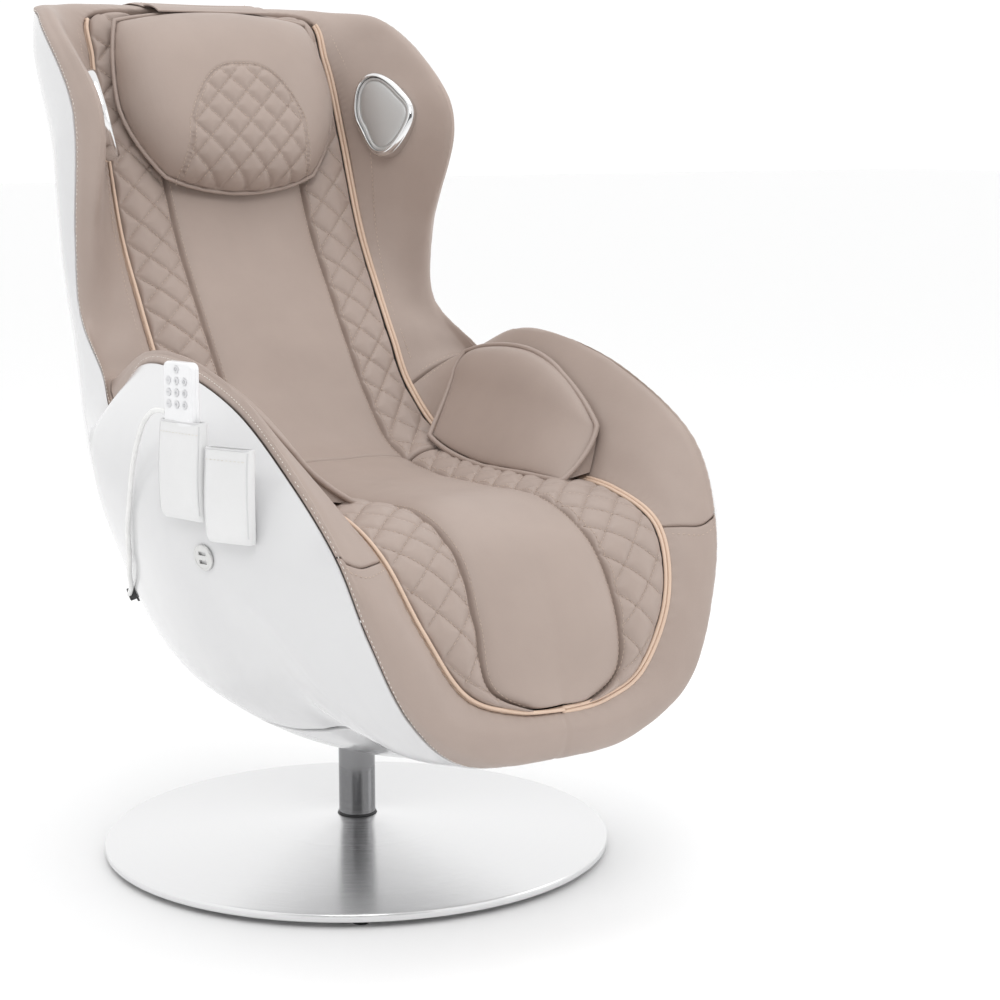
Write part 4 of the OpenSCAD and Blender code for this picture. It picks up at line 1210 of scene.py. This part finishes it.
# --- pedestal
def lathe(profile, n=240):
    """Closed profile of (radius, height) points turned about Z."""
    prof = np.array(profile, float)
    r, z = prof[:, :1], prof[:, 1:]
    v = np.stack([r * np.cos(turn(n)), r * np.sin(turn(n)), np.broadcast_to(z, (len(prof), n))], -1)
    return v.reshape(-1, 3), ring_faces(len(prof), n, closed=True)


def smooth_profile(keys, n):
    r, z = np.array(keys, float).T
    order = np.argsort(r)
    r, z = r[order], z[order]
    m = np.gradient(z, r)
    rr = np.linspace(r[0], r[-1], n)
    out = []
    for x in rr:
        i = min(max(int(np.searchsorted(r, x) - 1), 0), len(r) - 2)
        hh = r[i + 1] - r[i]
        q = (x - r[i]) / hh
        out.append((x, (2 * q**3 - 3 * q**2 + 1) * z[i] + (q**3 - 2 * q**2 + q) * hh * m[i]
                    + (-2 * q**3 + 3 * q**2) * z[i + 1] + (q**3 - q**2) * hh * m[i + 1]))
    return out


upper = smooth_profile([(0.026, 0.043), (0.036, 0.042), (0.060, 0.038), (0.120, 0.032), (0.200, 0.0265),
                        (0.290, 0.021), (0.3275, 0.0182)], 90)
rim_arc = [(0.3284, 0.0180), (0.3293, 0.0173), (0.3299, 0.0160), (0.3300, 0.0140), (0.3300, 0.0102),
           (0.3297, 0.0088), (0.3288, 0.0080), (0.3262, 0.0080), (0.3256, 0.0088), (0.3250, 0.0136)]
lower = [(x, z - 0.0045) for x, z in upper[::-1] if x < 0.315]
lower[-1] = (0.026, 0.0370)
v, f = lathe(upper + rim_arc + lower)
build("steel_disc", v, [q[::-1] for q in f], BRUSHED, rides="pedestal", slot="brushed_base",
      replaces=["base_disc"], angle=40)
post = [(0.0240, 0.0462), (0.0240, 0.1875), (0.0235, 0.1880), (0.0192, 0.1880), (0.0192, 0.0462)]
v, f = lathe(post, 120)
build("chrome_post", v, f, CHROME, slot="chrome", replaces=["post_tube"], angle=40)

# --- ports
o, axes = placed(*PORT_AT, True)
ring_keys = [(0.0152, 0.0010), (0.0152, 0.0022), (0.0148, 0.0031), (0.0139, 0.0035), (0.0130, 0.0035),
             (0.0124, 0.0031), (0.0124, 0.0012)]
v, f = lathe(ring_keys, 96)
build("port_rim", o + v @ axes, f, SILVER, slot="silver_trim", angle=50)

# --- stage and light
FLOOR_HALF = 30.0
corners = [(FLOOR_HALF * x, FLOOR_HALF * y, 0) for x, y in ((-1, -1), (1, -1), (1, 1), (-1, 1))]
floor_mesh = bpy.data.meshes.new("floor")
floor_mesh.from_pydata(corners, [], [(0, 1, 2, 3)])
floor_mat = material("pale_floor", (0.97, 0.97, 0.97), 0.6, spec=0.1)
floor_mesh.materials.append(floor_mat)
floor_obj = bpy.data.objects.new("floor", floor_mesh)
scene.collection.objects.link(floor_obj)

world = bpy.data.worlds.new("studio")
scene.world = world
world.use_nodes = True
sky = world.node_tree
ground = sky.nodes["Background"]
ground.inputs["Strength"].default_value = 1.05


def sky_node(kind, **values):
    n = sky.nodes.new(kind)
    for key, value in values.items():
        setattr(n, key, value)
    return n


def ramp(source, x0, x1, y0, y1):
    r = sky_node("ShaderNodeMapRange", interpolation_type="SMOOTHSTEP")
    for key, value in (("From Min", x0), ("From Max", x1), ("To Min", y0), ("To Max", y1)):
        r.inputs[key].default_value = value
    sky.links.new(source, r.inputs["Value"])
    return r.outputs["Result"]


def times(a, b):
    m = sky_node("ShaderNodeMath", operation="MULTIPLY")
    sky.links.new(a, m.inputs[0])
    sky.links.new(b, m.inputs[1])
    return m.outputs[0]


# a dark flag on the viewer's side gives the metal something to reflect
direction = sky_node("ShaderNodeTexCoord").outputs["Generated"]
axis = sky_node("ShaderNodeVectorMath", operation="DOT_PRODUCT")
axis.inputs[1].default_value = (math.cos(math.radians(59.5)), math.sin(math.radians(59.5)), 0)
sky.links.new(direction, axis.inputs[0])
split = sky_node("ShaderNodeSeparateXYZ")
sky.links.new(direction, split.inputs[0])
flag = times(ramp(axis.outputs["Value"], -0.90, -0.74, 1, 0),
             times(ramp(split.outputs["Z"], 0.07, 0.14, 0, 1), ramp(split.outputs["Z"], 0.55, 0.8, 1, 0)))
tone = sky_node("ShaderNodeMix", data_type="RGBA")
tone.inputs[6].default_value = (1, 1, 1, 1)
tone.inputs[7].default_value = (0.10, 0.10, 0.105, 1)
sky.links.new(flag, tone.inputs[0])
sky.links.new(tone.outputs[2], ground.inputs["Color"])


def area(name, at, look, w, h, power):
    d = bpy.data.lights.new(name, "AREA")
    d.shape = "RECTANGLE"
    d.size, d.size_y = w, h
    d.energy = power
    lamp = bpy.data.objects.new(name, d)
    lamp.location = at
    lamp.rotation_euler = (Vector(look) - Vector(at)).to_track_quat("-Z", "Y").to_euler()
    scene.collection.objects.link(lamp)


area("key", (-1.6, -2.6, 3.4), (0, -0.1, 0.6), 1.6, 1.6, 26)
area("fill", (2.6, -1.6, 1.6), (0, 0, 0.6), 1.4, 1.8, 8)
area("top", (0.2, 0.0, 3.6), (0, 0, 0.4), 2.2, 2.2, 18)
